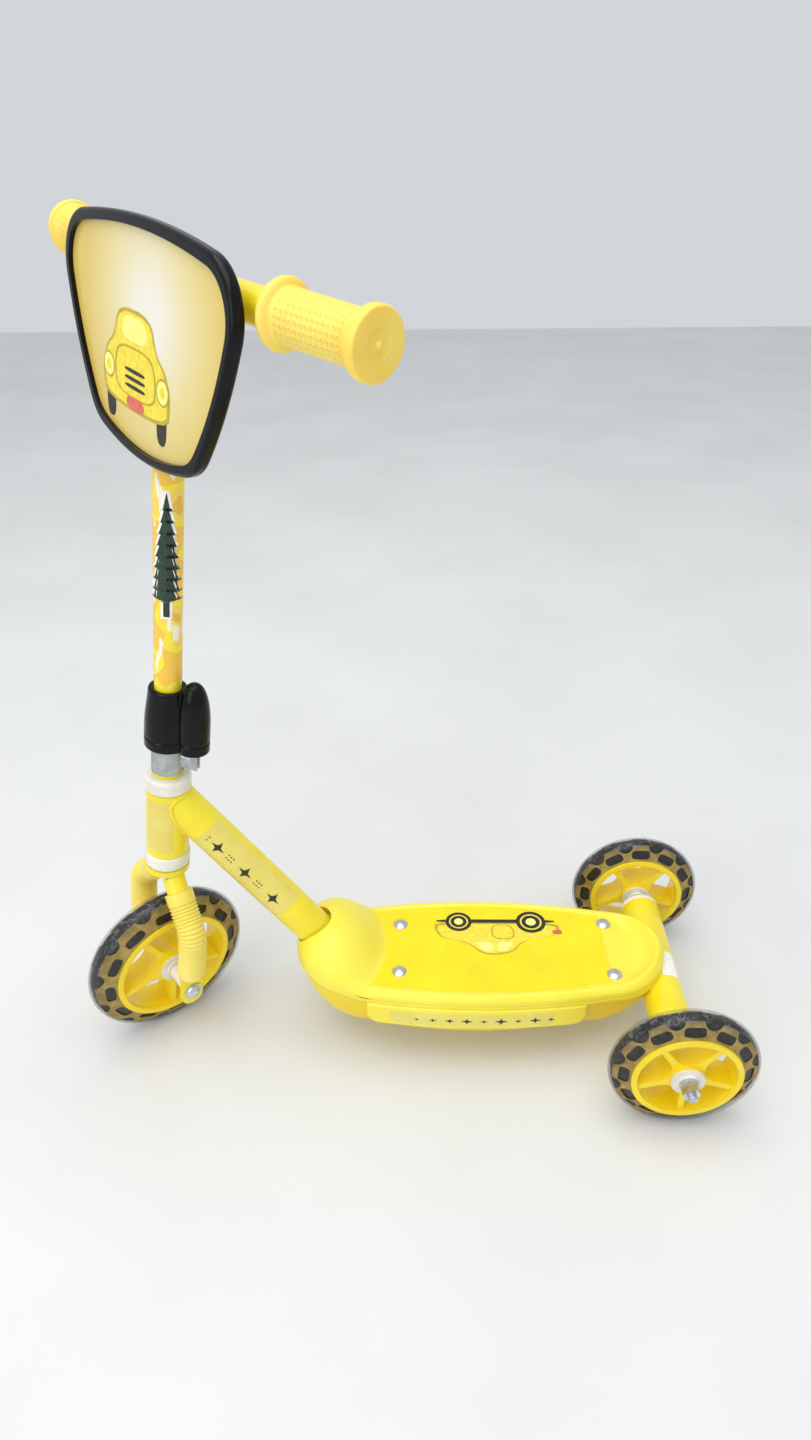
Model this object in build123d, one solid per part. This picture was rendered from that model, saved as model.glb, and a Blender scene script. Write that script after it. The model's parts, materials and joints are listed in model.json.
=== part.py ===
"""A child's three-wheeled kick scooter: one steered wheel in front, two wheels on a fixed rear axle,
a plastic deck on a welded steel frame, and a height-adjustable handlebar with a number-plate panel.

+X is forward, +Y is the rider's left, +Z is up.  The origin is on the ground, on the frame's middle
plane, halfway between the axles.  The steering stands turned to the left by steer_at_rest.
"""

import os
from math import cos, radians, sin, sqrt, tan

from build123d import *

# Overall sizes, in millimetres and degrees.
wheelbase = 455.0
track = 217.0
rake = 8.4
steer_at_rest = 40.0

# Wheels.  The front one is larger than the two rear ones, and all three share one design.
front_wheel_radius = 75.0
front_tyre_width = 30.0
front_rim_radius = 55.0
front_hub_width = 31.0
rear_wheel_radius = 62.5
rear_tyre_width = 27.0
rear_rim_radius = 45.8
rear_hub_width = 28.8
rim_band = 5.2
rim_lip = 2.6
spokes = 5
spoke_width = 5.6
window_foot = 0.655
window_ledge = 0.6
tyre_cover = 1.3
core_ring_reach = 0.84
slots = 12
slot_length = 18.5
slot_depth = 8.0
scallop_radius = 8.0
bush_flange_radius = 14.5
bush_flange = 2.2
bush_barrel_radius = 7.0
bush_barrel = 11.0
bush_flange_taper = 0.5
bush_shoulder = 1.5

# Axles and threaded fasteners.
axle_radius = 4.0
axle_nut_across = 13.0
axle_nut_height = 8.0
axle_tail = 5.0
axle_chamfer = 0.8
washer_radius = 8.0
washer_thickness = 1.6
bolt_head_radius = 7.0
bolt_head_height = 4.6
clamp_bolt_radius = 3.0
clamp_nut_across = 10.0
clamp_nut_height = 5.0
clamp_head_height = 4.0
clamp_bolt_tail = 1.0

# Fits and gaps.
running_clearance = 0.06
hole_clearance = 0.1
side_clearance = 0.3
seat_gap = 0.02

# Steering column: heights are measured up the steering axis from the front axle.
head_tube_bottom = 132.0
head_tube_length = 65.0
head_tube_radius = 17.75
head_tube_wall = 2.2
cup_radius = 19.0
cup_height = 14.0
cup_insert = 9.0
cup_rounding = 3.0
steerer_radius = 11.8
steerer_top = 266.0
crown_radius = 18.8
crown_height = 6.0
crown_rounding = 0.8
collar_wall = 1.3
collar_height = 46.0
collar_gap = 4.0
ear_length = 15.0
ear_thickness = 2.0
ear_share = 0.7
clamp_bolt_rise = 2.0
clamp_turn = 125.0
cover_height = 52.0
cover_radius = 18.5
cover_lobe_radius = 13.0
cover_lobe_offset = 22.0
cover_lobe_rise = 8.0
cover_wall = 2.0
cover_top_share = 0.8
cover_waist = 3.0

# Fork.
leg_radius = 9.5
leg_wall = 1.6
leg_spread = 47.0
leg_start = 11.0
leg_bend_height = 66.0
leg_bend_radius = 26.0
leg_overlap = 0.6
leg_gap = 0.4
tab_width = 20.0
tab_thickness = 5.0
tab_below = 16.0
tab_above = 18.0
sleeve_wall = 2.4
sleeve_slack = 0.2
sleeve_bottom = 20.0
sleeve_bare_top = 14.0

# Stem and handlebar.
stem_radius = 10.5
stem_wall = 1.5
stem_bottom = 140.0
bar_height = 581.0
bar_radius = 11.0
bar_wall = 1.5
bar_half_width = 183.0
bar_straight = 45.0
bar_sweep_angle = 7.5
bar_bend_radius = 90.0
grip_start = 112.0
grip_wall = 4.0
grip_flange_radius = 19.5
grip_flange = 5.0
grip_end_gap = 3.0
grip_tip_step = 0.5
grip_tip_share = 1.6
grip_mark = 1.5

# Plate in front of the handlebar.
plate_offset = 15.5
plate_top = 611.5
plate_bottom = 467.5
plate_top_half = 117.0
plate_bottom_half = 70.0
plate_corner_drop = 12.0
plate_side_bulge = 8.0
plate_corner = 34.0
plate_side_share = 1.35
plate_foot_share = 0.75
rim_width = 6.5
rim_depth = 9.0
card_thickness = 2.4
clip_width = 34.0
clip_height = 16.0
clip_wall = 3.0
clip_pitch = 60.0
screw_radius = 2.0
screw_head_radius = 4.0
screw_head = 1.2
screw_tip_gap = 0.5

# Rear cross tube.
cross_radius = 18.0
cross_wall = 2.0
cross_half_length = 74.0
cap_flange = 4.5
cap_insert = 12.0
spacer_radius = 7.5

# Frame under the deck.
down_tube_radius = 16.5
down_tube_wall = 1.8
down_tube_joint = 192.0
socket_from_axle = 319.0
socket_height = 116.5
backbone_width = 40.0
backbone_height = 20.0
backbone_wall = 1.8
backbone_overrun = 1.2
bracket_length = 26.0
bracket_thickness = 3.0
bracket_overhang = 7.0

# Deck: distances along X are measured forward from the rear axle.
deck_nose = 332.0
deck_tail = -3.0
deck_half_width = 63.0
deck_shoulder = 51.0
deck_nose_depth = 42.0
deck_tail_depth = 48.0
deck_top = 86.8
deck_edge_bottom = 74.0
deck_wall = 3.0
tail_start = 37.0
tail_rise = 7.0
tail_half_rise = 0.35
dome_radius = 46.0
dome_narrowing = 3.0
dome_stretch = 1.25
dome_behind_socket = 17.0
socket_clearance = 0.4
apron_front = 268.0
apron_rear = 72.0
apron_bottom = 50.0
tray_bottom = 40.0
tray_wall = 2.5
tray_nose = 302.0
tray_tail = 34.0
tray_side_inset = 8.0
tube_gap = 1.0
film_thickness = 0.8
film_inset = 10.0
film_gap = 3.0
film_rear = 50.0
film_hole_gap = 1.2
deck_bolt_front = 237.6
deck_bolt_rear = 46.0
deck_bolt_front_half = 29.4
deck_bolt_rear_half = 31.5
deck_bolt_radius = 3.0
deck_boss_radius = 7.8
deck_bolt_head_radius = 6.8
deck_bolt_head = 2.6
deck_nut_across = 10.0
deck_nut_height = 6.0
deck_nut_tail = 2.0

# Places that follow from the sizes above.
rear_axle_x = -wheelbase / 2
lean = sin(radians(rake)) * sin(radians(steer_at_rest))
front_crown = front_tyre_width / 2
front_axle_z = (front_wheel_radius - front_crown) * sqrt(1 - lean**2) + front_crown
axis_up = Vector(-sin(radians(rake)), 0, cos(radians(rake)))
ahead = Vector(cos(radians(rake)), 0, sin(radians(rake)))
front_axle = Vector(wheelbase / 2, 0, front_axle_z)
head_tube_top = head_tube_bottom + head_tube_length
collar_bottom = head_tube_top + cup_height + collar_gap
cover_bottom = steerer_top - cover_height / 2
hub_half = rear_hub_width / 2
cross_end = cross_half_length + cap_flange
deck_ceiling = deck_top - deck_wall
socket = Vector(rear_axle_x + socket_from_axle, 0, socket_height)
joint = front_axle + axis_up * down_tube_joint
down_tube_way = (joint - socket).normalized()
backbone_z = rear_wheel_radius
backbone_top = backbone_z + backbone_height / 2
bracket_z = backbone_top + bracket_thickness
foot_drop = (socket_height - backbone_z) / down_tube_way.Z
down_tube_foot = socket - down_tube_way * foot_drop


def on_axis(turn, height=0.0):
    """A frame on the steering axis, its +Z up the axis and its +X turned left from straight ahead."""
    way = ahead * cos(radians(turn)) + Vector(0, sin(radians(turn)), 0)
    return Plane(origin=front_axle + axis_up * height, x_dir=way, z_dir=axis_up)


head = on_axis(0)
steered = on_axis(steer_at_rest)
clamp_place = on_axis(steer_at_rest + clamp_turn)
bolt_points = [
    (rear_axle_x + along, side * half)
    for along, half in ((deck_bolt_front, deck_bolt_front_half), (deck_bolt_rear, deck_bolt_rear_half))
    for side in (1, -1)
]


def rod(radius, start, end):
    """A solid round bar on the Z axis."""
    return Pos(0, 0, start) * extrude(Circle(radius), end - start)


def pipe(radius, bore, start, end):
    """A tube on the Z axis."""
    return rod(radius, start, end) - rod(bore, start - 1, end + 1)


def across(shape):
    """Turns something made along Z to lie along Y, its top towards +Y."""
    return Rot(-90, 0, 0) * shape


def hexagon(across_flats, bore, start, end):
    """A plain nut with a bored hole, on the Z axis."""
    nut = Pos(0, 0, start) * extrude(RegularPolygon(across_flats / sqrt(3), 6), end - start)
    return nut - rod(bore, start - 1, end + 1)


def domed_head(radius, height, base):
    """The head of a button-head bolt, rising along Z from base."""
    ball = (radius**2 + height**2) / (2 * height)
    cap = Pos(0, 0, base + height - ball) * Sphere(ball)
    return cap & rod(radius + 1, base, base + height + 1)


def swept(path, *radii):
    """A round bar or tube along a path: the outer radius, then the bore if there is one."""
    section = Circle(radii[0])
    for bore in radii[1:]:
        section -= Circle(bore)
    return sweep(Plane(origin=path @ 0, z_dir=path % 0) * section, path=path)


# ---------------------------------------------------------------- wheels


def wheel_window(rim_radius):
    """One opening between two spokes: straight sides and a round foot near the hub."""
    half_angle = radians(180 / spokes)
    centre = window_foot * rim_radius
    foot = centre * sin(half_angle) - spoke_width / 2
    side = Vector(cos(half_angle), sin(half_angle))
    start = Vector(centre - foot * sin(half_angle), foot * cos(half_angle))
    end = start + side * rim_radius
    wedge = Polygon(
        (start.X, start.Y), (start.X, -start.Y), (end.X, -end.Y), (end.X, end.Y), align=None
    )
    return (Pos(centre, 0) * Circle(foot) + wedge) & Circle(rim_radius - rim_band - window_ledge)


def wheel_core(rim_radius, width):
    """The moulded hub, spokes and rim."""
    half = width / 2
    body = rod(rim_radius, -half, half)
    recess = pipe(rim_radius - rim_band, bush_flange_radius, half - rim_lip, half + 1)
    body -= recess
    body -= Rot(180, 0, 0) * recess
    for number in range(spokes):
        turn = 360 / spokes * (number + 0.5) + 90
        body -= Rot(0, 0, turn) * Pos(0, 0, -width) * extrude(wheel_window(rim_radius), 2 * width)
    return body - rod(bush_barrel_radius, -width, width)


def ring_reach(radius, rim_radius):
    return rim_radius + core_ring_reach * (radius - rim_radius)


def ring_blank(radius, width, rim_radius):
    """The ring inside a tyre before its slots and scallops are cut."""
    crown = width / 2
    crown_centre = radius - crown
    reach = ring_reach(radius, rim_radius)
    tip = sqrt((crown - tyre_cover) ** 2 - (reach - crown_centre) ** 2)
    foot = crown - tyre_cover
    profile = Polygon((rim_radius, -foot), (reach, -tip), (reach, tip), (rim_radius, foot), align=None)
    return revolve(Plane.XZ * profile, Axis.Z)


def core_ring(radius, width, rim_radius):
    """The slotted, scalloped ring that anchors the clear tyre to the rim."""
    ring = ring_blank(radius, width, rim_radius)
    reach = ring_reach(radius, rim_radius)
    slot = Pos(rim_radius, 0) * RectangleRounded(2 * slot_depth, slot_length, slot_depth / 3)
    bite = Pos(reach + scallop_radius / 2, 0) * Circle(scallop_radius)
    for number in range(slots):
        turn = 360 / slots * number
        ring -= Rot(0, 0, turn) * Pos(0, 0, -width) * extrude(slot, 2 * width)
        ring -= Rot(0, 0, turn + 180 / slots) * Pos(0, 0, -width) * extrude(bite, 2 * width)
    return ring


def tyre(radius, width, rim_radius):
    """The clear tyre, with a groove all round inside for the ring."""
    crown = width / 2
    straight = radius - crown - rim_radius
    body = Pos(rim_radius + straight / 2, 0) * Rectangle(straight, width)
    body += Pos(radius - crown, 0) * Circle(crown)
    body &= Pos(rim_radius + radius / 2, 0) * Rectangle(radius, width + 2)
    return revolve(Plane.XZ * body, Axis.Z) - ring_blank(radius, width, rim_radius)


def bush(width):
    """A flanged plastic bush on the +Z side of the hub."""
    face = width / 2
    body = rod(bush_flange_radius - bush_flange_taper, face, face + bush_flange)
    body += rod(bush_barrel_radius - seat_gap, face - bush_barrel, face)
    body += rod(spacer_radius + bush_shoulder, face + bush_flange, face + 2 * bush_flange)
    return body - rod(axle_radius + running_clearance, -width, width)


def wheel(prefix, radius, width, rim_radius, hub_width, place):
    """The four nodes of one wheel, made round Z and then put on its axle."""
    one_bush = bush(hub_width)
    pieces = {
        "wheel_core": wheel_core(rim_radius, hub_width),
        "tyre_ring": core_ring(radius, width, rim_radius),
        "tyre": tyre(radius, width, rim_radius),
        "wheel_bushes": Compound([one_bush, Rot(180, 0, 0) * one_bush]),
    }
    return {prefix + "_" + name: place * across(piece) for name, piece in pieces.items()}


# ---------------------------------------------------------------- frame


def head_tube():
    return head * pipe(head_tube_radius, head_tube_radius - head_tube_wall, head_tube_bottom, head_tube_top)


def head_cup():
    """A plastic bearing cup, flange down and insert up, with its flange's inner face at zero."""
    flange = rod(cup_radius, -cup_height, 0)
    flange = fillet(flange.edges().filter_by(GeomType.CIRCLE), cup_rounding)
    insert = rod(head_tube_radius - head_tube_wall - seat_gap, 0, cup_insert)
    bore = rod(steerer_radius + running_clearance, -cup_height - 1, cup_insert + 1)
    return flange + insert - bore


def down_tube():
    """From the head tube down to the backbone, mitred to both."""
    length = (joint - down_tube_foot).length
    run = Plane(origin=down_tube_foot, z_dir=down_tube_way)
    body = run * pipe(down_tube_radius, down_tube_radius - down_tube_wall, -backbone_height, length)
    body -= head * rod(head_tube_radius, 0, 2 * head_tube_top)
    floor = Pos(down_tube_foot.X, 0, backbone_top - deck_top) * Box(wheelbase, wheelbase, 2 * deck_top)
    return body - floor


def backbone_tube():
    """The box-section spine under the deck, coped to the rear cross tube."""
    start = rear_axle_x
    end = down_tube_foot.X + down_tube_radius * backbone_overrun
    middle = Pos((start + end) / 2, 0, backbone_z)
    body = middle * Box(end - start, backbone_width, backbone_height)
    inside = middle * Box(
        end - start + 2, backbone_width - 2 * backbone_wall, backbone_height - 2 * backbone_wall
    )
    return body - inside - Pos(rear_axle_x, 0, rear_wheel_radius) * across(rod(cross_radius, -track, track))


def deck_brackets():
    """Two plates across the backbone that the deck is bolted to."""
    plates = []
    for along, half in ((deck_bolt_front, deck_bolt_front_half), (deck_bolt_rear, deck_bolt_rear_half)):
        width = 2 * (half + bracket_overhang)
        plate = Pos(rear_axle_x + along, 0, backbone_top + bracket_thickness / 2) * Box(
            bracket_length, width, bracket_thickness
        )
        plate = fillet(plate.edges().filter_by(Axis.Z), deck_bolt_radius)
        for x, y in bolt_points:
            plate -= Pos(x, y, 0) * rod(deck_bolt_radius + hole_clearance, 0, deck_top)
        plates.append(plate)
    return Compound(plates)


def rear_cross_tube():
    tube = pipe(cross_radius, cross_radius - cross_wall, -cross_half_length, cross_half_length)
    return Pos(rear_axle_x, 0, rear_wheel_radius) * across(tube)


def both_ends(piece):
    """A piece made on the +Z side of the rear axle, and its mirror image, put on the axle."""
    pair = Compound([piece, Rot(180, 0, 0) * piece])
    return Pos(rear_axle_x, 0, rear_wheel_radius) * across(pair)


def rear_tube_cap():
    cap = rod(cross_radius, cross_half_length, cross_end)
    cap += rod(cross_radius - cross_wall - seat_gap, cross_half_length - cap_insert, cross_half_length)
    return cap - rod(axle_radius + seat_gap, 0, track)


def rear_spacer():
    hub_inside = track / 2 - hub_half - 2 * bush_flange
    return pipe(spacer_radius, axle_radius + seat_gap, cross_end, hub_inside - side_clearance)


def rear_stack(after):
    """Height of the outer washer's inner face, or what lies beyond it."""
    return track / 2 + hub_half + 2 * bush_flange + side_clearance + after


def rear_washer():
    return pipe(washer_radius, axle_radius + seat_gap, rear_stack(0), rear_stack(washer_thickness))


def rear_nut():
    start = rear_stack(washer_thickness)
    return hexagon(axle_nut_across, axle_radius + seat_gap, start, start + axle_nut_height)


def rear_axle():
    end = rear_stack(washer_thickness + axle_nut_height + axle_tail)
    axle = chamfer(rod(axle_radius, -end, end).edges().filter_by(GeomType.CIRCLE), axle_chamfer)
    return Pos(rear_axle_x, 0, rear_wheel_radius) * across(axle)


# ---------------------------------------------------------------- deck


def deck_plan(nose, tail, half_width, shoulder):
    """The deck's outline from above: a round nose, bowed sides and a round tail."""
    front = (nose - deck_nose_depth, shoulder)
    back = (tail + deck_tail_depth, shoulder)
    middle = ((front[0] + back[0]) / 2, half_width)
    outline = Curve() + [
        ThreePointArc((front[0], -front[1]), (nose, 0), front),
        ThreePointArc(front, middle, back),
        ThreePointArc(back, (tail, 0), (back[0], -back[1])),
        ThreePointArc((back[0], -back[1]), (middle[0], -middle[1]), (front[0], -front[1])),
    ]
    return Pos(rear_axle_x, 0) * make_face(outline)


def deck_inset(inset):
    """The deck's outline drawn in by the same amount all round."""
    return deck_plan(deck_nose - inset, deck_tail + inset, deck_half_width - inset, deck_shoulder - inset)


def deck_block(inset, drop, bottom):
    """The body under the deck's top surface: flat in the middle, rising towards the tail."""
    top = deck_top - drop
    lip = deck_top + tail_rise - drop
    side = Polyline(
        (deck_nose, bottom),
        (deck_nose, top),
        (tail_start, top),
        (tail_start / 2, top + tail_rise * tail_half_rise),
        (deck_tail + deck_wall, lip),
        (deck_tail, lip - deck_wall),
        (deck_tail, bottom),
        close=True,
    )
    slab = Plane.XZ * Pos(rear_axle_x, 0) * make_face(side)
    slab = extrude(slab, deck_half_width, both=True)
    return slab & Pos(0, 0, bottom) * extrude(deck_inset(inset), 2 * deck_top)


def dome(shrink):
    """The swelling of the nose round the down tube's socket."""
    centre = Pos(rear_axle_x + socket_from_axle - dome_behind_socket, 0, deck_edge_bottom)
    length = dome_radius - dome_narrowing - shrink
    ball = centre * scale(Sphere(1), (length, dome_radius - shrink, dome_stretch * dome_radius - shrink))
    ball &= Pos(0, 0, deck_ceiling - shrink) * extrude(deck_inset(shrink), 2 * deck_top)
    above_socket = Plane(origin=socket, z_dir=down_tube_way) * rod(3 * dome_radius, 0, 3 * dome_radius)
    return ball - above_socket


def deck_cover():
    """The moulded top of the deck, with the nose dome, the side aprons and the bolt bosses."""
    cover = deck_block(0, 0, deck_edge_bottom) + dome(0)
    apron = Pos(0, 0, apron_bottom) * extrude(deck_inset(0), deck_edge_bottom - apron_bottom + 1)
    apron_length = apron_front - apron_rear
    apron &= Pos(rear_axle_x + apron_rear + apron_length / 2, 0, deck_top) * Box(
        apron_length, 2 * deck_half_width, 2 * deck_top
    )
    cover += apron
    cover -= deck_block(deck_wall, deck_wall, deck_edge_bottom - 1)
    cover -= Pos(0, 0, apron_bottom - 1) * extrude(deck_inset(deck_wall), deck_edge_bottom - apron_bottom + 1)
    way = Plane(origin=down_tube_foot, z_dir=down_tube_way)
    cover -= Pos(rear_axle_x, 0, rear_wheel_radius) * across(rod(cross_radius + tube_gap, -track, track))
    for x, y in bolt_points:
        cover += Pos(x, y, 0) * rod(deck_boss_radius, bracket_z, deck_ceiling + 1)
        cover -= Pos(x, y, 0) * rod(deck_bolt_radius + hole_clearance, 0, 2 * deck_top)
    return cover - way * rod(down_tube_radius + socket_clearance, 0, 4 * dome_radius)


def deck_tray():
    """The lower shell of the deck, tucked up inside the cover and open round the frame."""
    top_z = deck_ceiling - deck_wall
    body = loft([Pos(0, 0, tray_bottom) * tray_floor(0), Pos(0, 0, top_z) * deck_inset(deck_wall)])
    hollow = loft(
        [
            Pos(0, 0, tray_bottom + tray_wall) * tray_floor(tray_wall),
            Pos(0, 0, top_z + 1) * deck_inset(deck_wall + tray_wall),
        ]
    )
    body -= hollow
    body -= Pos(rear_axle_x, 0, rear_wheel_radius) * across(rod(cross_radius + tube_gap, -track, track))
    slot_height = top_z - backbone_z + backbone_height
    body -= Pos(rear_axle_x, 0, backbone_z - backbone_height / 2 - tube_gap + slot_height / 2) * Box(
        2 * tray_tail + deck_tail_depth, backbone_width + 2 * tube_gap, slot_height
    )
    return body


def tray_floor(inset):
    return deck_plan(
        tray_nose - inset,
        tray_tail + inset,
        deck_half_width - tray_side_inset - inset,
        deck_shoulder - tray_side_inset - inset,
    )


def deck_grip_film():
    """The printed, ribbed film let into the deck's top, cut out round the dome and the bolts."""
    film = deck_inset(film_inset)
    dome_x = rear_axle_x + socket_from_axle - dome_behind_socket
    film -= Pos(dome_x, 0) * Circle(dome_radius + film_gap)
    rear_part = rear_axle_x + film_rear - wheelbase / 2
    film -= Pos(rear_part, 0) * Rectangle(wheelbase, wheelbase)
    for x, y in bolt_points:
        film -= Pos(x, y) * Circle(deck_bolt_head_radius + film_hole_gap)
    return Pos(0, 0, deck_top) * extrude(film, film_thickness)


def deck_bolts():
    tip = backbone_top - deck_nut_height - deck_nut_tail
    bolt = domed_head(deck_bolt_head_radius, deck_bolt_head, deck_top) + rod(deck_bolt_radius, tip, deck_top)
    return Compound([Pos(x, y, 0) * bolt for x, y in bolt_points])


def deck_nuts():
    nut = hexagon(deck_nut_across, deck_bolt_radius + seat_gap, backbone_top - deck_nut_height, backbone_top)
    return Compound([Pos(x, y, 0) * nut for x, y in bolt_points])


# ---------------------------------------------------------------- fork


def steerer_tube():
    bottom = head_tube_bottom - cup_height - side_clearance
    bore = stem_radius + running_clearance
    return steered * pipe(steerer_radius, bore, bottom, steerer_top)


def crown_top():
    return head_tube_bottom - cup_height - side_clearance


def fork_crown():
    """The thick washer-like crown below the lower cup, with a stub that both legs are welded to."""
    top = crown_top()
    crown = rod(crown_radius, top - crown_height, top)
    crown = fillet(crown.edges().filter_by(GeomType.CIRCLE).sort_by(Axis.Z)[0], crown_rounding)
    return steered * (crown - rod(steerer_radius, top - crown_height - 1, top + 1))


def leg_path(side, start_drop, end):
    """The bent line of a leg, from under the crown out and down to the axle."""
    top = crown_top() - crown_height - leg_radius * leg_overlap
    start = Vector(0, side * leg_start, top)
    knee = Vector(0, side * leg_spread, leg_bend_height)
    start += (knee - start).normalized() * start_drop
    return FilletPolyline(start, knee, (0, side * leg_spread, end), radius=leg_bend_radius)


def fork_leg(side):
    """A bent tube whose lower end is pressed flat and drilled for the axle."""
    leg = swept(leg_path(side, 0, tab_above), leg_radius, leg_radius - leg_wall)
    leg -= Pos(0, 0, crown_top() - crown_height + leg_radius * 2) * Box(track, track, leg_radius * 4)
    leg &= Pos(0, side * leg_spread, 0) * Box(track, 2 * leg_spread - leg_gap, 4 * head_tube_bottom)
    tab = Rectangle(tab_width, tab_below + tab_above - tab_width / 2)
    tab = Pos(0, (tab_above - tab_below + tab_width / 2) / 2) * tab
    tab += Pos(0, tab_width / 2 - tab_below) * Circle(tab_width / 2)
    tab = extrude(Plane.XZ * tab, tab_thickness / 2, both=True)
    leg += Pos(0, side * leg_spread, 0) * tab
    return steered * (leg - across(rod(axle_radius + hole_clearance, -track, track)))


def fork_sleeve(side):
    """The corrugated plastic sleeve over the leg, kept smooth here."""
    bore = leg_radius + sleeve_slack
    return steered * swept(leg_path(side, sleeve_bare_top, sleeve_bottom), bore + sleeve_wall, bore)


def ear_gap():
    return 2 * collar_wall


def clamp_collar():
    """A steel band round the split top of the steerer, with two ears pinched by a bolt."""
    top = collar_bottom + collar_height
    band = pipe(steerer_radius + collar_wall, steerer_radius, collar_bottom, top)
    reach = steerer_radius + ear_length
    ear_side = ear_gap() / 2 + ear_thickness / 2
    for side in (1, -1):
        ear = Pos(reach / 2, side * ear_side, collar_bottom + collar_height / 2) * Box(
            reach, ear_thickness, collar_height * ear_share
        )
        band += ear - rod(steerer_radius, 0, 2 * top)
    slit = Pos(reach / 2, 0, collar_bottom + collar_height / 2) * Box(reach + 2, ear_gap(), collar_height + 2)
    return clamp_place * (band - slit - clamp_line(rod(clamp_bolt_radius + hole_clearance, -track, track)))


def clamp_line(shape):
    """Puts something made along Z on the clamp bolt's line, in the clamp's frame."""
    middle = steerer_radius + collar_wall + (ear_length - collar_wall) / 2
    return Pos(middle, 0, collar_bottom + collar_height / 2 + clamp_bolt_rise) * across(shape)


def clamp_bolt():
    head_face = ear_gap() / 2 + ear_thickness
    tip = -head_face - clamp_nut_height - clamp_bolt_tail
    bolt = rod(clamp_bolt_radius, tip, head_face)
    bolt += rod(clamp_nut_across / 2, head_face, head_face + clamp_head_height)
    return clamp_place * clamp_line(bolt)


def clamp_nut():
    face = ear_gap() / 2 + ear_thickness
    nut = hexagon(clamp_nut_across, clamp_bolt_radius + seat_gap, -face - clamp_nut_height, -face)
    return clamp_place * clamp_line(nut)


def clamp_shell(shrink):
    """The two domed lobes of the clamp cover, or the space inside them."""
    low = cover_bottom - (1 if shrink else 0)
    top = cover_bottom + cover_height - shrink
    wide = loft(
        [
            Pos(0, 0, low) * Circle(cover_radius - shrink),
            Pos(0, 0, top) * Circle(cover_radius * cover_top_share - shrink),
        ]
    )
    lobe_top = top + cover_lobe_rise - cover_lobe_radius
    lobe = Pos(cover_lobe_offset, 0) * rod(cover_lobe_radius - shrink, low, lobe_top)
    lobe += Pos(cover_lobe_offset, 0, lobe_top) * Sphere(cover_lobe_radius - shrink)
    link_width = 2 * (cover_lobe_radius - shrink) - cover_waist
    link_height = lobe_top - low
    link = Pos(cover_lobe_offset / 2, 0, low + link_height / 2) * Box(
        cover_lobe_offset, link_width, link_height
    )
    return wide + lobe + link


def clamp_cover():
    """The black plastic cap snapped over the clamp, open below."""
    shell = clamp_shell(0) - clamp_shell(cover_wall)
    shell -= rod(stem_radius + side_clearance, cover_bottom, 2 * steerer_top)
    return clamp_place * shell


def tab_outside():
    return leg_spread + tab_thickness / 2


def front_axle_bolt():
    head_face = tab_outside() + washer_thickness
    tip = -head_face - axle_nut_height - axle_tail / 2
    bolt = rod(axle_radius, tip, head_face) + domed_head(bolt_head_radius, bolt_head_height, head_face)
    return steered * across(bolt)


def front_axle_nut():
    face = tab_outside() + washer_thickness
    return steered * across(hexagon(axle_nut_across, axle_radius + seat_gap, -face - axle_nut_height, -face))


def front_pair(piece):
    return steered * across(Compound([piece, Rot(180, 0, 0) * piece]))


def front_axle_washers():
    face = tab_outside()
    return front_pair(pipe(washer_radius, axle_radius + seat_gap, face, face + washer_thickness))


def front_spacers():
    start = front_hub_width / 2 + 2 * bush_flange + side_clearance
    end = leg_spread - tab_thickness / 2
    return front_pair(pipe(spacer_radius, axle_radius + seat_gap, start, end))


# ---------------------------------------------------------------- handlebar


def bar_line(side):
    """Half of the bar: straight behind the plate, then swept back to its end."""
    run = bar_half_width - bar_straight
    back = run * tan(radians(bar_sweep_angle))
    end = (-back, side * bar_half_width, bar_height)
    return (0, side * bar_straight, bar_height), end


def stem_tube():
    """The upright tube, its top cut to fit the crossbar."""
    tube = pipe(stem_radius, stem_radius - stem_wall, stem_bottom, bar_height)
    return steered * (tube - Pos(0, 0, bar_height) * across(rod(bar_radius, -bar_straight, bar_straight)))


def crossbar():
    left_knee, left_end = bar_line(1)
    right_knee, right_end = bar_line(-1)
    path = FilletPolyline(left_end, left_knee, right_knee, right_end, radius=bar_bend_radius)
    return steered * swept(path, bar_radius, bar_radius - bar_wall)


def grip(side):
    """A soft grip with a hand guard at its inner end and a stepped flange at its outer end."""
    knee, end = bar_line(side)
    outward = (Vector(end) - Vector(knee)).normalized()
    place = Plane(origin=Vector(end), x_dir=(0, 0, 1), z_dir=outward)
    start = (grip_start - bar_half_width) / abs(outward.Y)
    barrel = bar_radius + grip_wall
    body = rod(barrel, start, grip_end_gap)
    guard = rod(grip_flange_radius, start, start + grip_flange)
    body += fillet(guard.edges().filter_by(GeomType.CIRCLE), grip_flange / 3)
    tip_start = grip_end_gap - grip_flange * grip_tip_share
    tip = rod(grip_flange_radius - grip_tip_step, tip_start, grip_end_gap)
    body += fillet(tip.edges().filter_by(GeomType.CIRCLE), grip_flange / 3)
    body += rod(grip_flange_radius / 4, grip_end_gap, grip_end_gap + grip_mark)
    return steered * place * (body - rod(bar_radius, start - 1, 0))


def plate_outline(inset):
    """The panel's shape: a bowed top, sides that taper downwards and a shallow curved foot."""
    top, foot = plate_top - inset, plate_bottom + inset
    top_corner = (plate_top_half - inset * plate_side_share, top - plate_corner_drop)
    foot_corner = (plate_bottom_half - inset * plate_foot_share, foot + plate_corner_drop)
    side = (
        (top_corner[0] + foot_corner[0]) / 2 + plate_side_bulge,
        (top_corner[1] + foot_corner[1]) / 2,
    )
    lines = Curve() + [
        ThreePointArc((-top_corner[0], top_corner[1]), (0, top), top_corner),
        ThreePointArc(top_corner, side, foot_corner),
        ThreePointArc(foot_corner, (0, foot), (-foot_corner[0], foot_corner[1])),
        ThreePointArc((-foot_corner[0], foot_corner[1]), (-side[0], side[1]), (-top_corner[0], top_corner[1])),
    ]
    return fillet(make_face(lines).vertices(), plate_corner - inset)


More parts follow.
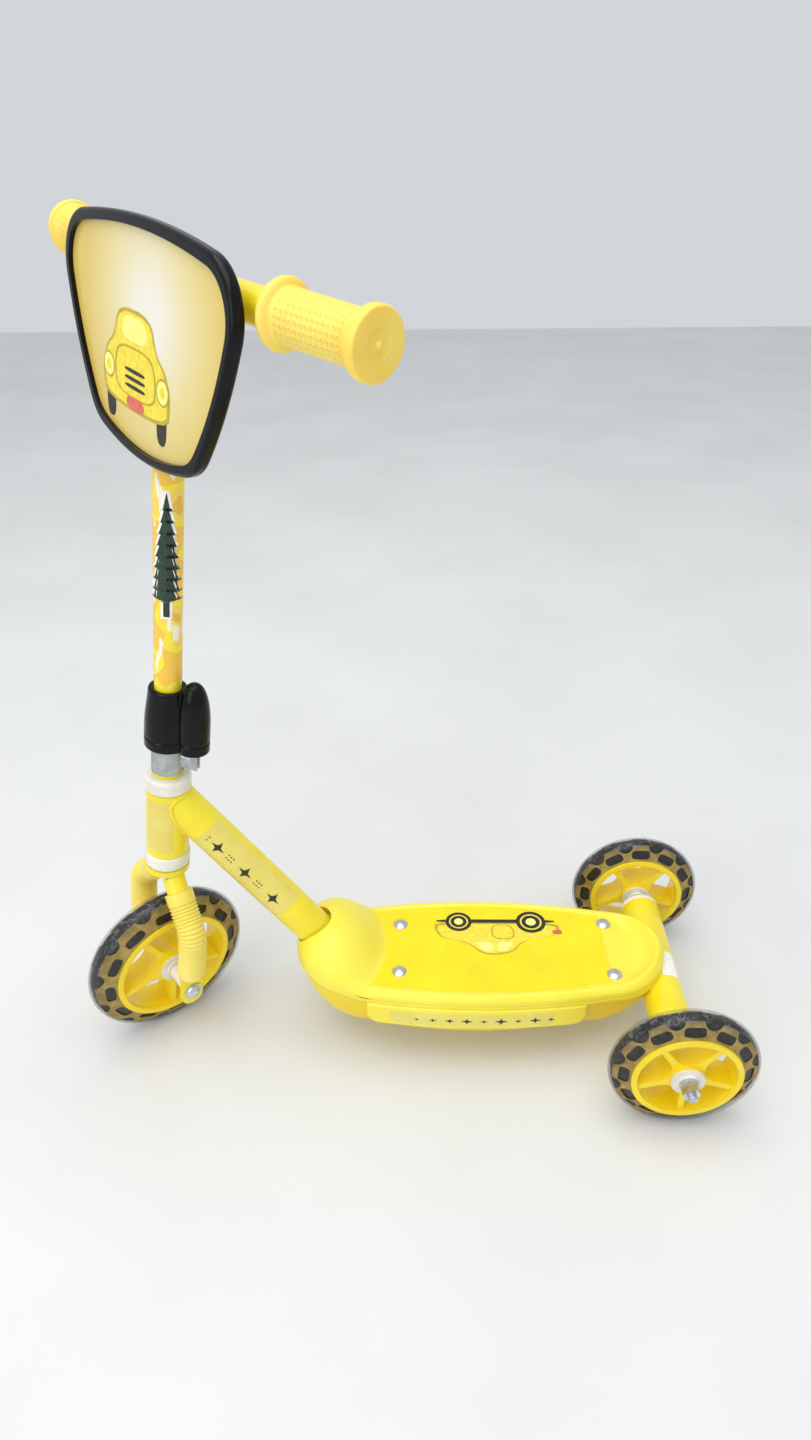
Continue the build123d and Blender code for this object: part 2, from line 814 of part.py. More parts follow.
def plate_slab(inset, start, end):
    """A slab of the panel's outline, between two distances in front of the steering axis."""
    front = Plane(origin=(start, 0, 0), x_dir=(0, 1, 0), z_dir=(1, 0, 0))
    return extrude(front * plate_outline(inset), end - start)


def plate_rim():
    """The thick moulded rim, grooved for the card."""
    rim = plate_slab(0, plate_offset - rim_depth / 2, plate_offset + rim_depth / 2)
    rim = fillet(rim.edges().group_by(Axis.X)[0], rim_depth / 3)
    rim = fillet(rim.edges().group_by(Axis.X)[-1], rim_depth / 3)
    rim -= plate_slab(rim_width, plate_offset - rim_depth, plate_offset + rim_depth)
    return steered * (rim - plate_card_slab())


def plate_card_slab():
    half = card_thickness / 2
    return plate_slab(rim_width / 2, plate_offset - half, plate_offset + half)


def plate_screw_places():
    return [(side * clip_pitch / 2, bar_height) for side in (1, -1)]


def plate_card():
    front = plate_offset + card_thickness / 2
    hole = rod(screw_radius + hole_clearance, 0, 2 * plate_offset)
    hole += rod(screw_head_radius + hole_clearance, front - screw_head, 2 * plate_offset)
    card = plate_card_slab()
    for y, z in plate_screw_places():
        card -= Pos(0, y, z) * (Rot(0, 90, 0) * hole)
    return steered * card


def plate_clips():
    """Two saddles that hold the panel to the crossbar."""
    back = plate_offset - card_thickness / 2
    shell = bar_radius + clip_wall
    clips = []
    for y, z in plate_screw_places():
        pad = Pos((back - shell) / 2, 0, 0) * Box(back + shell, clip_height, 2 * shell)
        pad -= across(rod(bar_radius, -clip_width, clip_width))
        pad -= Pos(-shell, 0, 0) * Box(2 * shell, clip_width, bar_radius)
        pad -= Rot(0, 90, 0) * rod(screw_radius, 0, 2 * back)
        clips.append(Pos(0, y, z) * pad)
    return steered * Compound(clips)


def plate_screws():
    """Flat-headed screws, sunk flush in the card from its front."""
    front = plate_offset + card_thickness / 2
    screw = rod(screw_radius - seat_gap, bar_radius + screw_tip_gap, front)
    screw += rod(screw_head_radius, front - screw_head, front)
    return steered * Compound([Pos(0, y, z) * (Rot(0, 90, 0) * screw) for y, z in plate_screw_places()])


# ---------------------------------------------------------------- assembly

nodes = {
    "head_tube": head_tube(),
    "lower_head_cup": Plane(origin=head.origin + axis_up * head_tube_bottom, x_dir=ahead, z_dir=axis_up)
    * head_cup(),
    "upper_head_cup": Plane(origin=head.origin + axis_up * head_tube_top, x_dir=ahead, z_dir=-axis_up)
    * head_cup(),
    "down_tube": down_tube(),
    "backbone_tube": backbone_tube(),
    "deck_brackets": deck_brackets(),
    "rear_cross_tube": rear_cross_tube(),
    "rear_tube_caps": both_ends(rear_tube_cap()),
    "rear_spacers": both_ends(rear_spacer()),
    "rear_axle_washers": both_ends(rear_washer()),
    "rear_axle_nuts": both_ends(rear_nut()),
    "rear_axle": rear_axle(),
    "deck_cover": deck_cover(),
    "deck_tray": deck_tray(),
    "deck_grip_film": deck_grip_film(),
    "deck_bolts": deck_bolts(),
    "deck_nuts": deck_nuts(),
    "steerer_tube": steerer_tube(),
    "fork_crown": fork_crown(),
    "fork_leg_left": fork_leg(1),
    "fork_leg_right": fork_leg(-1),
    "fork_sleeve_left": fork_sleeve(1),
    "fork_sleeve_right": fork_sleeve(-1),
    "clamp_collar": clamp_collar(),
    "clamp_bolt": clamp_bolt(),
    "clamp_nut": clamp_nut(),
    "clamp_cover": clamp_cover(),
    "front_axle_bolt": front_axle_bolt(),
    "front_axle_nut": front_axle_nut(),
    "front_axle_washers": front_axle_washers(),
    "front_spacers": front_spacers(),
    "stem_tube": stem_tube(),
    "crossbar": crossbar(),
    "grip_left": grip(1),
    "grip_right": grip(-1),
    "plate_rim": plate_rim(),
    "plate_card": plate_card(),
    "plate_clips": plate_clips(),
    "plate_screws": plate_screws(),
}
nodes.update(
    wheel("front", front_wheel_radius, front_tyre_width, front_rim_radius, front_hub_width, steered.location)
)
for name, side in (("left", 1), ("right", -1)):
    nodes.update(
        wheel(
            "rear_" + name,
            rear_wheel_radius,
            rear_tyre_width,
            rear_rim_radius,
            rear_hub_width,
            Pos(rear_axle_x, side * track / 2, rear_wheel_radius),
        )
    )

os.makedirs("parts", exist_ok=True)
for name, shape in nodes.items():
    export_step(shape, "parts/" + name + ".step")
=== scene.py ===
import json
import math

import bmesh
import bpy
from mathutils import Euler, Matrix, Vector
from mathutils.geometry import convex_hull_2d


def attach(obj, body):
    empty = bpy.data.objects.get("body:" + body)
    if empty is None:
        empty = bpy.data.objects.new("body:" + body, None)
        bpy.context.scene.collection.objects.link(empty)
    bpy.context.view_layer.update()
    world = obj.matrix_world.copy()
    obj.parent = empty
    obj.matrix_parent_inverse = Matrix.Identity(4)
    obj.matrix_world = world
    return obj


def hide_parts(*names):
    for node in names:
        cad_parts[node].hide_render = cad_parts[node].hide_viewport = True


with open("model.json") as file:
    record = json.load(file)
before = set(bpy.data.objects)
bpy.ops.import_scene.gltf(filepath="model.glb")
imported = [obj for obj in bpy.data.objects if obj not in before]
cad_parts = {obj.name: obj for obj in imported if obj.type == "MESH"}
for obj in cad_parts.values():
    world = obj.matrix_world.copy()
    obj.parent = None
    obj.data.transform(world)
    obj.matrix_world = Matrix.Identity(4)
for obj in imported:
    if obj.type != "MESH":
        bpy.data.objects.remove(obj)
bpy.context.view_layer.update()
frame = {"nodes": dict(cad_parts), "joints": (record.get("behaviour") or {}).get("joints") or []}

# ---- The studio: a pale painted floor, one large soft lamp overhead, a weaker one beside the
# camera, and a white room all round, so the yellow plastics keep their colour in the shade.

MM = 0.001
FLOOR_HALF = 4.0
FLOOR_DRIFT = 300
ROOM_LIGHT = 0.75
LENS = 23.07
EYE_PLACE = (-0.0115, 0.6136, 0.7120)
EYE_TILT, EYE_HEADING, EYE_ROLL = 58.29, 181.32, -0.67


def srgb(code):
    """The linear colour of an sRGB hex code."""
    parts = [int(code[i : i + 2], 16) / 255 for i in (1, 3, 5)]
    return [p / 12.92 if p <= 0.04045 else ((p + 0.055) / 1.055) ** 2.4 for p in parts] + [1.0]


def put(tree, kind, values=None, links=None):
    """Adds a shader node. values are its settings or unlinked sockets, links feed its sockets."""
    node = tree.nodes.new("ShaderNode" + kind)
    for key, value in (values or {}).items():
        if isinstance(key, int) or key in node.inputs:
            node.inputs[key].default_value = value
        else:
            setattr(node, key, value)
    for key, source in (links or {}).items():
        tree.links.new(source, node.inputs[key])
    return node


def material(name, **sockets):
    """A material with one Principled surface; sockets are its constant values."""
    made = bpy.data.materials.new(name)
    made.use_nodes = True
    tree = made.node_tree
    tree.nodes.clear()
    values = {key.replace("_", " "): value for key, value in sockets.items()}
    surface = put(tree, "BsdfPrincipled", values)
    put(tree, "OutputMaterial", links={"Surface": surface.outputs[0]})
    return made, tree, surface


def mottle(tree, surface, light, dark, size_mm, contrast=(0.35, 0.65)):
    """Colour that drifts between two tones over patches of about size_mm."""
    place = put(tree, "TexCoord")
    noise = put(
        tree, "TexNoise", {"Scale": 1 / (size_mm * MM), "Detail": 3.0}, {"Vector": place.outputs["Object"]}
    )
    ramp = put(tree, "ValToRGB", links={0: noise.outputs[0]})
    for stop, where, tone in zip(ramp.color_ramp.elements, contrast, (dark, light)):
        stop.position = where
        stop.color = srgb(tone)
    tree.links.new(ramp.outputs[0], surface.inputs["Base Color"])
    return place


def painted_floor():
    """Matt floor paint: even and pale, drifting very slightly in tone."""
    made, tree, surface = material("painted_floor", Roughness=0.7)
    mottle(tree, surface, "#E4E4E2", "#DEDEDC", FLOOR_DRIFT)
    return made


def soft_lamp(name, size, power, place, aim):
    """A square softbox that points at a spot on the scooter."""
    data = bpy.data.lights.new(name, "AREA")
    data.shape = "RECTANGLE"
    data.size, data.size_y = size
    data.energy = power
    lamp = bpy.data.objects.new(name, data)
    bpy.context.scene.collection.objects.link(lamp)
    lamp.location = place
    lamp.rotation_euler = (Vector(aim) - Vector(place)).to_track_quat("-Z", "Y").to_euler()


floor_mesh = bmesh.new()
bmesh.ops.create_grid(floor_mesh, x_segments=8, y_segments=8, size=FLOOR_HALF)
floor_data = bpy.data.meshes.new("floor")
floor_mesh.to_mesh(floor_data)
floor_data.materials.append(painted_floor())
floor = bpy.data.objects.new("floor", floor_data)
bpy.context.scene.collection.objects.link(floor)

soft_lamp("overhead_softbox", (2.2, 2.2), 34, (0.2, 0.3, 2.4), (0.0, 0.0, 0.2))
soft_lamp("front_softbox", (1.2, 1.6), 11, (1.1, 1.6, 1.2), (0.05, 0.0, 0.3))
room = bpy.data.worlds.new("white_room")
room.use_nodes = True
room.node_tree.nodes["Background"].inputs[0].default_value = srgb("#EEF2F7")
room.node_tree.nodes["Background"].inputs[1].default_value = ROOM_LIGHT
bpy.context.scene.world = room
bpy.context.scene.view_settings.view_transform = "Standard"

eye = bpy.data.cameras.new("camera")
eye.sensor_fit = "VERTICAL"
eye.sensor_height = 36.0
eye.lens = LENS
camera = bpy.data.objects.new("camera", eye)
bpy.context.scene.collection.objects.link(camera)
facing = Euler((math.radians(EYE_TILT), 0, math.radians(EYE_HEADING))).to_matrix()
rolled = facing @ Matrix.Rotation(math.radians(EYE_ROLL), 3, "Z")
camera.matrix_world = Matrix.Translation(EYE_PLACE) @ rolled.to_4x4()
bpy.context.scene.camera = camera

# ---- The welded frame: round steel tube, mitred and welded, then powder coated lemon yellow in
# one piece.  The head tube, the down tube, the spine under the deck and the rear cross tube.

joints = {joint["name"]: joint for joint in frame["joints"]}
column_up = Vector(joints["steering"]["axis"])
wheel_left = Vector(joints["front_wheel_spin"]["axis"])
front_axle = Vector(joints["front_wheel_spin"]["pos_m"])
rear_axle = Vector(joints["rear_left_wheel_spin"]["pos_m"]) * Vector((1, 0, 1))
STEER_AT_REST = math.radians(40)


def axes(origin, x_way, z_way):
    """A frame from its origin and the directions of its X and Z."""
    z_way = z_way.normalized()
    y_way = z_way.cross(x_way).normalized()
    turned = Matrix((y_way.cross(z_way), y_way, z_way)).transposed().to_4x4()
    return Matrix.Translation(origin) @ turned


steered = axes(front_axle, wheel_left.cross(column_up), column_up)
straight = steered @ Matrix.Rotation(-STEER_AT_REST, 4, "Z")
from_rear_axle = Matrix.Translation((rear_axle.x, 0, 0))


def skin(made, rings, closed=False):
    """Adds a surface through rings of points in millimetres.  closed joins the last to the first."""
    loops = [[made.verts.new(Vector(point) * MM) for point in ring] for ring in rings]
    following = loops[1:] + ([loops[0]] if closed else [])
    for low, high in zip(loops, following):
        for a, b, c, d in zip(low, low[1:] + low[:1], high[1:] + high[:1], high):
            made.faces.new((a, b, c, d))
    if not closed:
        made.faces.new(loops[0][::-1])
        made.faces.new(loops[-1])


def piece(name, surfaces, place, finishes, body, replaced=(), closed=False, sharp=38):
    """One piece of the scooter.  surfaces is a list of (rings, number of its finish)."""
    made = bmesh.new()
    for rings, finish in surfaces:
        already = len(made.faces)
        skin(made, rings, closed)
        made.faces.ensure_lookup_table()
        for face in made.faces[already:]:
            face.material_index = finish
    bmesh.ops.remove_doubles(made, verts=made.verts, dist=1e-6)
    bmesh.ops.recalc_face_normals(made, faces=made.faces)
    data = bpy.data.meshes.new(name)
    made.to_mesh(data)
    made.free()
    data.shade_smooth()
    data.set_sharp_from_angle(angle=math.radians(sharp))
    for finish in finishes:
        data.materials.append(finish)
    thing = bpy.data.objects.new(name, data)
    bpy.context.scene.collection.objects.link(thing)
    thing.matrix_world = place
    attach(thing, body)
    if replaced:
        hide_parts(*replaced)
    return thing


def grain(tree, surface, place, size_mm, depth_mm, rounding_mm=0.5):
    """A fine raised grain over softly rounded edges."""
    edge = put(tree, "Bevel", {"Radius": rounding_mm * MM, "samples": 4})
    noise = put(
        tree, "TexNoise", {"Scale": 1 / (size_mm * MM), "Detail": 2.0}, {"Vector": place.outputs["Object"]}
    )
    bump = put(
        tree,
        "Bump",
        {"Strength": 1.0, "Distance": depth_mm * MM},
        {"Height": noise.outputs[0], "Normal": edge.outputs[0]},
    )
    tree.links.new(bump.outputs[0], surface.inputs["Normal"])


def powder_coat():
    """Baked powder coat: a glossy lemon yellow skin with a faint orange peel."""
    made, tree, surface = material(
        "powder_coat", Roughness=0.3, IOR=1.5, Coat_Weight=0.25, Coat_Roughness=0.12
    )
    place = mottle(tree, surface, "#F9E72E", "#F3DC1C", 30)
    grain(tree, surface, place, 1.6, 0.05)
    return made


def paint(names, finish):
    """Gives CAD nodes a finish."""
    for name in names:
        data = frame["nodes"][name].data
        data.materials.clear()
        data.materials.append(finish)


enamel = powder_coat()
paint(["head_tube", "down_tube", "rear_cross_tube", "backbone_tube", "deck_brackets"], enamel)

HEAD_RADIUS = 17.75
DOWN_RADIUS = 16.5
DOWN_JOINT = 192.0
SOCKET = Vector((319.0, 0.0, 116.5))
WELD_RADIUS = 1.7
WELD_RIPPLES, RIPPLE_SHARE = 24, 0.12
NEARBY_TURN = 0.01
down_top = from_rear_axle.inverted() @ (straight @ Vector((0, 0, DOWN_JOINT * MM)))
down_way = (down_top / MM - SOCKET).normalized()
down_tube = axes(from_rear_axle @ (SOCKET * MM), Vector((0, 1, 0)), down_way)
to_head = straight.inverted() @ down_tube


def where_tubes_meet(turn, out):
    """The point where a line along the down tube, out from its middle, meets the head tube."""
    start = to_head @ (Vector((out * math.cos(turn), out * math.sin(turn), 0)) * MM) / MM
    way = to_head.to_3x3() @ Vector((0, 0, 1))
    a = way.x**2 + way.y**2
    b = start.x * way.x + start.y * way.y
    c = start.x**2 + start.y**2 - HEAD_RADIUS**2
    return start + way * (-b - math.sqrt(b * b - a * c)) / a


def weld_rings(around=96, sides=8):
    """A rippled bead of weld along the joint of the two tubes."""
    rings = []
    for i in range(around):
        turn = 2 * math.pi * i / around
        middle = where_tubes_meet(turn, DOWN_RADIUS)
        ahead = where_tubes_meet(turn + NEARBY_TURN, DOWN_RADIUS) - middle
        out = Vector((middle.x, middle.y, 0)).normalized()
        side = ahead.cross(out).normalized()
        size = WELD_RADIUS * (1 + RIPPLE_SHARE * math.sin(turn * WELD_RIPPLES))
        rings.append(
            [
                middle + size * (out * math.cos(k) + side * math.sin(k))
                for k in (2 * math.pi * step / sides for step in range(sides))
            ]
        )
    return rings


piece("head_weld", [(weld_rings(), 0)], straight, [enamel], "frame", closed=True)

# ---- The white plastics: acetal bearing cups, tube caps, spacers and wheel bushes, moulded and
# left in their own colour.  Slightly waxy, so light sinks in a little and edges look soft.


def acetal():
    """Moulded acetal: cream white, waxy, with a dull gloss."""
    made, tree, surface = material("white_acetal", Roughness=0.38, IOR=1.48)
    place = mottle(tree, surface, "#F1EEE2", "#E3DFD0", 12)
    grain(tree, surface, place, 0.8, 0.03, 0.7)
    return made


white = acetal()
WHEELS = ("front", "rear_left", "rear_right")
paint(["lower_head_cup", "upper_head_cup", "rear_tube_caps", "rear_spacers", "front_spacers"], white)
paint([wheel + "_wheel_bushes" for wheel in WHEELS], white)

# ---- The fasteners: zinc-plated steel axles, nuts, washers and button-head deck bolts.  Plating is
# pale and bright, duller where it was handled; the axle ends carry an M8 thread of 1.25 mm pitch.

THREAD_PITCH = 1.25
WAVE_PERIOD = math.tau / 20


def zinc():
    """Bright zinc plate on turned steel."""
    made, tree, surface = material("zinc_plate", Metallic=1.0, Roughness=0.28)
    place = mottle(tree, surface, "#DDE0E4", "#C6CACE", 6)
    grain(tree, surface, place, 0.5, 0.02, 0.4)
    return made


def zinc_thread():
    """The same plate over a rolled thread, whose ridges run round the axle."""
    made, tree, surface = material("zinc_thread", Metallic=1.0, Roughness=0.34)
    place = mottle(tree, surface, "#D2D5D9", "#B9BDC2", 6)
    wave = put(
        tree,
        "TexWave",
        {"Scale": WAVE_PERIOD / (THREAD_PITCH * MM), "bands_direction": "Y"},
        {"Vector": place.outputs["Object"]},
    )
    bump = put(tree, "Bump", {"Distance": 0.4 * MM}, {"Height": wave.outputs["Fac"]})
    tree.links.new(bump.outputs[0], surface.inputs["Normal"])
    return made


plate_zinc = zinc()
paint(["rear_axle_washers", "rear_axle_nuts", "deck_bolts", "deck_nuts", "front_axle_bolt"], plate_zinc)
paint(["front_axle_nut", "front_axle_washers", "clamp_bolt", "clamp_nut", "plate_screws"], plate_zinc)
paint(["rear_axle"], zinc_thread())

# ---- The deck tray: the lower shell, a polypropylene moulding with a round belly, tucked up inside the
# cover's edge.  It takes little sun, so it is painted a warmer, darker yellow than the cover: painted
# shade.

DECK_EDGE_BOTTOM = 74.0
NOSE, TAIL = 332.0, -3.0
HALF_WIDTH, SHOULDER = 63.0, 51.0
NOSE_DEPTH, TAIL_DEPTH = 42.0, 48.0
TRAY_BOTTOM = 40.0
TRAY_NOSE, TRAY_TAIL = 302.0, 34.0
TRAY_INSET = 8.0
TRAY_TUCK, TRAY_FLANGE = 2.5, 9.0
BELLY_FULL, BELLY_SLOPE = 0.85, 0.15
NOSE_STEPS, SIDE_STEPS, TAIL_STEPS = 44, 60, 40
RISE_START, RISE_HEIGHT = 250.0, 13.0


def arc(start, through, end, steps):
    """Points on the circle through three points, from the first up to just before the last."""
    ax, ay, bx, by, cx, cy = *start, *through, *end
    d = 2 * (ax * (by - cy) + bx * (cy - ay) + cx * (ay - by))
    sa, sb, sc = ax * ax + ay * ay, bx * bx + by * by, cx * cx + cy * cy
    x = (sa * (by - cy) + sb * (cy - ay) + sc * (ay - by)) / d
    y = (sa * (cx - bx) + sb * (ax - cx) + sc * (bx - ax)) / d
    first = math.atan2(ay - y, ax - x)
    sweep = math.atan2(cy - y, cx - x) - first
    if (math.atan2(by - y, bx - x) - first) % math.tau > sweep % math.tau:
        sweep = -((-sweep) % math.tau)
    else:
        sweep %= math.tau
    size = math.hypot(ax - x, ay - y)
    turns = [first + sweep * i / steps for i in range(steps)]
    return [(x + size * math.cos(turn), y + size * math.sin(turn)) for turn in turns]


def deck_plan(nose, tail, half_width, shoulder):
    """The deck's outline from above: a round nose, bowed sides and a round tail."""
    front, back = nose - NOSE_DEPTH, tail + TAIL_DEPTH
    middle = (front + back) / 2
    return (
        arc((front, -shoulder), (nose, 0), (front, shoulder), NOSE_STEPS)
        + arc((front, shoulder), (middle, half_width), (back, shoulder), SIDE_STEPS)
        + arc((back, shoulder), (tail, 0), (back, -shoulder), TAIL_STEPS)
        + arc((back, -shoulder), (middle, -half_width), (front, -shoulder), SIDE_STEPS)
    )


def drawn_in(outline, inset):
    """An outline moved inwards by a distance."""
    moved = []
    for before, here, after in zip(outline[-1:] + outline[:-1], outline, outline[1:] + outline[:1]):
        run = Vector((after[0] - before[0], after[1] - before[1])).normalized()
        moved.append((here[0] - run.y * inset, here[1] + run.x * inset))
    return moved


def edge_rise(x):
    """How much higher the deck's lower edge runs as it comes round the nose."""
    share = min(max((x - RISE_START) / (NOSE - RISE_START), 0.0), 1.0)
    return RISE_HEIGHT * share * share * (3 - 2 * share)


def polypropylene(name, light, dark):
    """Moulded polypropylene: an even colour, a satin skin and a very fine spark-eroded grain."""
    made, tree, surface = material(
        name, Roughness=0.36, IOR=1.49, Subsurface_Weight=0.06, Subsurface_Scale=0.004
    )
    place = mottle(tree, surface, light, dark, 60)
    grain(tree, surface, place, 0.9, 0.04, 0.6)
    return made


edge_plan = deck_plan(NOSE, TAIL, HALF_WIDTH, SHOULDER)
tray_top = drawn_in(edge_plan, TRAY_TUCK)
tray_foot = deck_plan(TRAY_NOSE, TRAY_TAIL, HALF_WIDTH - TRAY_INSET, SHOULDER - TRAY_INSET)


def tray_rings(levels=14):
    """From the rim down round the belly to the floor."""
    flange = drawn_in(edge_plan, TRAY_FLANGE)
    rings = [[(x, y, DECK_EDGE_BOTTOM + 2 + edge_rise(x)) for x, y in flange]]
    for i in range(levels + 1):
        turn = math.pi / 2 * i / levels
        down = math.sin(turn)
        inwards = (1 - math.cos(turn)) * BELLY_FULL + BELLY_SLOPE * down
        ring = []
        for a, b in zip(tray_top, tray_foot):
            rim = DECK_EDGE_BOTTOM + 1 + edge_rise(a[0])
            z = rim - (rim - TRAY_BOTTOM) * down
            ring.append((a[0] + (b[0] - a[0]) * inwards, a[1] + (b[1] - a[1]) * inwards, z))
        rings.append(ring)
    return rings


# Painted shade: the tray's yellow is darker and warmer than the cover's, for the light it loses under the
# cover.
golden = polypropylene("shade_darkened_polypropylene", "#F8DC22", "#F0CF14")
piece("deck_belly", [(tray_rings(), 0)], from_rear_axle, [golden], "frame", ["deck_tray"])

# ---- The deck cover: the upper shell, a polypropylene moulding in pale lemon.  Its nose swells
# round the down tube, a bead runs round its edge and its tail is a shallow dish with a lip.

DECK_TOP = 86.8
TAIL_START = 37.0
TAIL_RISE = 7.0
DOME_X = 302.0
DOME_HALF = (54.0, 74.0)
DOME_HEIGHT, DOME_FALL = 50.0, 0.85
BEAD_HEIGHT, BEAD_IN, BEAD_SPREAD = 1.5, 6.0, 3.0
LIP_HEIGHT, LIP_IN, LIP_SPREAD = 5.0, 7.5, 5.0
DISH_DEPTH, DISH_X, DISH_LENGTH = 3.0, 24.0, 12.0
DISH_IN, DISH_SLOPE = 10, 8
MOUTH_BLEND, DOME_BLEND = 3.0, 12.0
SPINE_REAR, SPINE_FRONT = 45.0, 292.0
EDGE_ROUND, NOSE_ROUND = 5.0, 13.0
ROUNDER_FROM, ROUNDER_OVER = 250, 60
EDGE_CROWDING = 1.7
EDGE_PROFILE = [(8.0, 3), (2.4, 0.6), (0.6, 0), (0.0, 0.8), (0.0, 3.4), (0.7, 4.0), (0.7, 4.6), (0.0, 5.2)]


def softly(a, b, blend, sign=1):
    """The larger of two heights, or the smaller with sign -1, with a soft change between them."""
    near = max(blend - abs(a - b), 0.0)
    return (max(a, b) if sign > 0 else min(a, b)) + sign * near**2 / (4 * blend)


def cover_height(x, y, inside):
    """The cover's top at a place that is some distance inside its edge."""
    climb = max(0.0, (TAIL_START - x) / (TAIL_START - TAIL))
    flat = DECK_TOP + TAIL_RISE * climb**2
    flat += BEAD_HEIGHT * math.exp(-(((inside - BEAD_IN) / BEAD_SPREAD) ** 2))
    in_dish = min(max(inside - DISH_IN, 0.0) / DISH_SLOPE, 1.0)
    flat -= DISH_DEPTH * math.exp(-(((x - DISH_X) / DISH_LENGTH) ** 2)) * in_dish
    flat += LIP_HEIGHT * climb**0.7 * math.exp(-(((inside - LIP_IN) / LIP_SPREAD) ** 2))
    share = 1 - ((x - DOME_X) / DOME_HALF[0]) ** 2 - (y / DOME_HALF[1]) ** 2
    dome = DECK_EDGE_BOTTOM + DOME_HEIGHT * max(share, 0.0) ** DOME_FALL
    mouth = SOCKET.z - (x - SOCKET.x) * down_way.x / down_way.z
    dome = softly(dome, mouth, MOUTH_BLEND, -1)
    return softly(flat, dome, DOME_BLEND)


def cover_rings(levels=46):
    """Up the side from the underside, round the edge, and in over the top to the spine."""
    spine = [(min(max(x, SPINE_REAR), SPINE_FRONT), 0.0) for x, _ in edge_plan]
    rings = [[(x, y, DECK_EDGE_BOTTOM + 3 + edge_rise(a)) for (x, y), (a, _) in zip(spine, edge_plan)]]
    for inset, up in EDGE_PROFILE:
        rings.append([(x, y, DECK_EDGE_BOTTOM + up + edge_rise(x)) for x, y in drawn_in(edge_plan, inset)])
    for i in range(levels + 1):
        share = (i / levels) ** EDGE_CROWDING
        ring = []
        for edge, middle in zip(edge_plan, spine):
            reach = math.hypot(edge[0] - middle[0], edge[1] - middle[1])
            inside = share * reach
            x = edge[0] + (middle[0] - edge[0]) * share
            y = edge[1] + (middle[1] - edge[1]) * share
            towards_nose = min(max((edge[0] - ROUNDER_FROM) / ROUNDER_OVER, 0.0), 1.0)
            rounding = EDGE_ROUND + (NOSE_ROUND - EDGE_ROUND) * towards_nose
            short = max(rounding - inside, 0.0)
            z = cover_height(x, y, inside) - rounding + math.sqrt(rounding**2 - short**2)
            ring.append((x, y, z))
        rings.append(ring)
    return rings


def carved(thing, cutters, place):
    """Cuts closed shapes out of a piece."""
    made = bmesh.new()
    for rings in cutters:
        skin(made, rings)
    bmesh.ops.recalc_face_normals(made, faces=made.faces)
    data = bpy.data.meshes.new("cutter")
    made.to_mesh(data)
    cutter = bpy.data.objects.new("cutter", data)
    bpy.context.scene.collection.objects.link(cutter)
    cutter.matrix_world = place
    cut = thing.modifiers.new("cut", "BOOLEAN")
    cut.operation = "DIFFERENCE"
    cut.solver = "EXACT"
    cut.object = cutter
    bpy.context.view_layer.update()
    finished = bpy.data.meshes.new_from_object(thing.evaluated_get(bpy.context.evaluated_depsgraph_get()))
    thing.modifiers.clear()
    thing.data = finished
    bpy.data.objects.remove(cutter)
    finished.set_sharp_from_angle(angle=math.radians(38))


def turned(profile, steps=64):
    """Rings round the Z axis from a profile of (radius, height) points."""
    ways = [(math.cos(math.tau * i / steps), math.sin(math.tau * i / steps)) for i in range(steps)]
    return [[(radius * c, radius * s, z) for c, s in ways] for radius, z in profile]


SOCKET_RADIUS = 18.6
SOCKET_DEPTH = 13.0
SOCKET_SHIFT = 1.6
lemon = polypropylene("lemon_polypropylene", "#FBEC4E", "#F6E43E")
cover = piece(
    "deck_shell", [(cover_rings(), 0)], from_rear_axle, [lemon], "frame", ["deck_cover"]
)
mouth_place = down_tube @ Matrix.Translation(Vector((0, SOCKET_SHIFT, 0)) * MM)
carved(cover, [turned([(SOCKET_RADIUS, -SOCKET_DEPTH), (SOCKET_RADIUS, 60.0)])], mouth_place)

# ---- The side panels: a raised band along each side of the deck, moulded with the cover, and the
# clear printed label on its face.  The printing here is a plain row of small dark lozenges.

PANEL_REAR, PANEL_FRONT = 72.0, 268.0
PANEL_TOP, PANEL_BOTTOM = 75.5, 51.0
PANEL_PROUD = 1.3
PANEL_END = 11.0
END_RISE, END_SINK = 0.75, 0.05
LABEL_REAR, LABEL_FRONT = PANEL_REAR + 22, PANEL_FRONT - 16
INK_DRIFT = 16
panel_run = [p for p in edge_plan if PANEL_REAR <= p[0] <= PANEL_FRONT and p[1] > 0]


def panel_rings(low, high, proud, back, ease, run, side):
    """Bowed slices along one side of the deck, rounded at both ends."""
    rings = []
    first, last = run[0][0], run[-1][0]
    for x, y in run:
        from_end = min(abs(x - first), abs(x - last))
        shrink = PANEL_END * (1 - math.sqrt(max(1 - (1 - min(from_end / PANEL_END, 1.0)) ** 2, 0.0)))
        bottom = low + shrink * END_RISE
        out = y + proud - END_SINK * shrink
        section = [(y - back, high), (out - ease, high), (out, high - ease), (out, bottom + ease)]
        section += [(out - ease, bottom), (y - back, bottom)]
        rings.append([(x, side * across, z) for across, z in section])
    return rings


def ink(name, colour):
    """Screen-printing ink: an even, slightly broken film of colour."""
    made, tree, surface = material(name, Roughness=0.42, IOR=1.5)
    parts = [min(int(colour[i : i + 2], 16) + INK_DRIFT, 255) for i in (1, 3, 5)]
    lighter = "#" + "".join(f"{part:02X}" for part in parts)
    place = mottle(tree, surface, lighter, colour, 4)
    grain(tree, surface, place, 0.6, 0.01, 0.2)
    return made


def clear_film(name, colour, alpha):
    """A clear polyester label, a little yellowed, with its surface gloss."""
    made, tree, surface = material(name, Roughness=0.22, IOR=1.57, Alpha=alpha)
    place = mottle(tree, surface, colour, "#EFE795", 18)
    grain(tree, surface, place, 2.0, 0.02, 0.2)
    return made


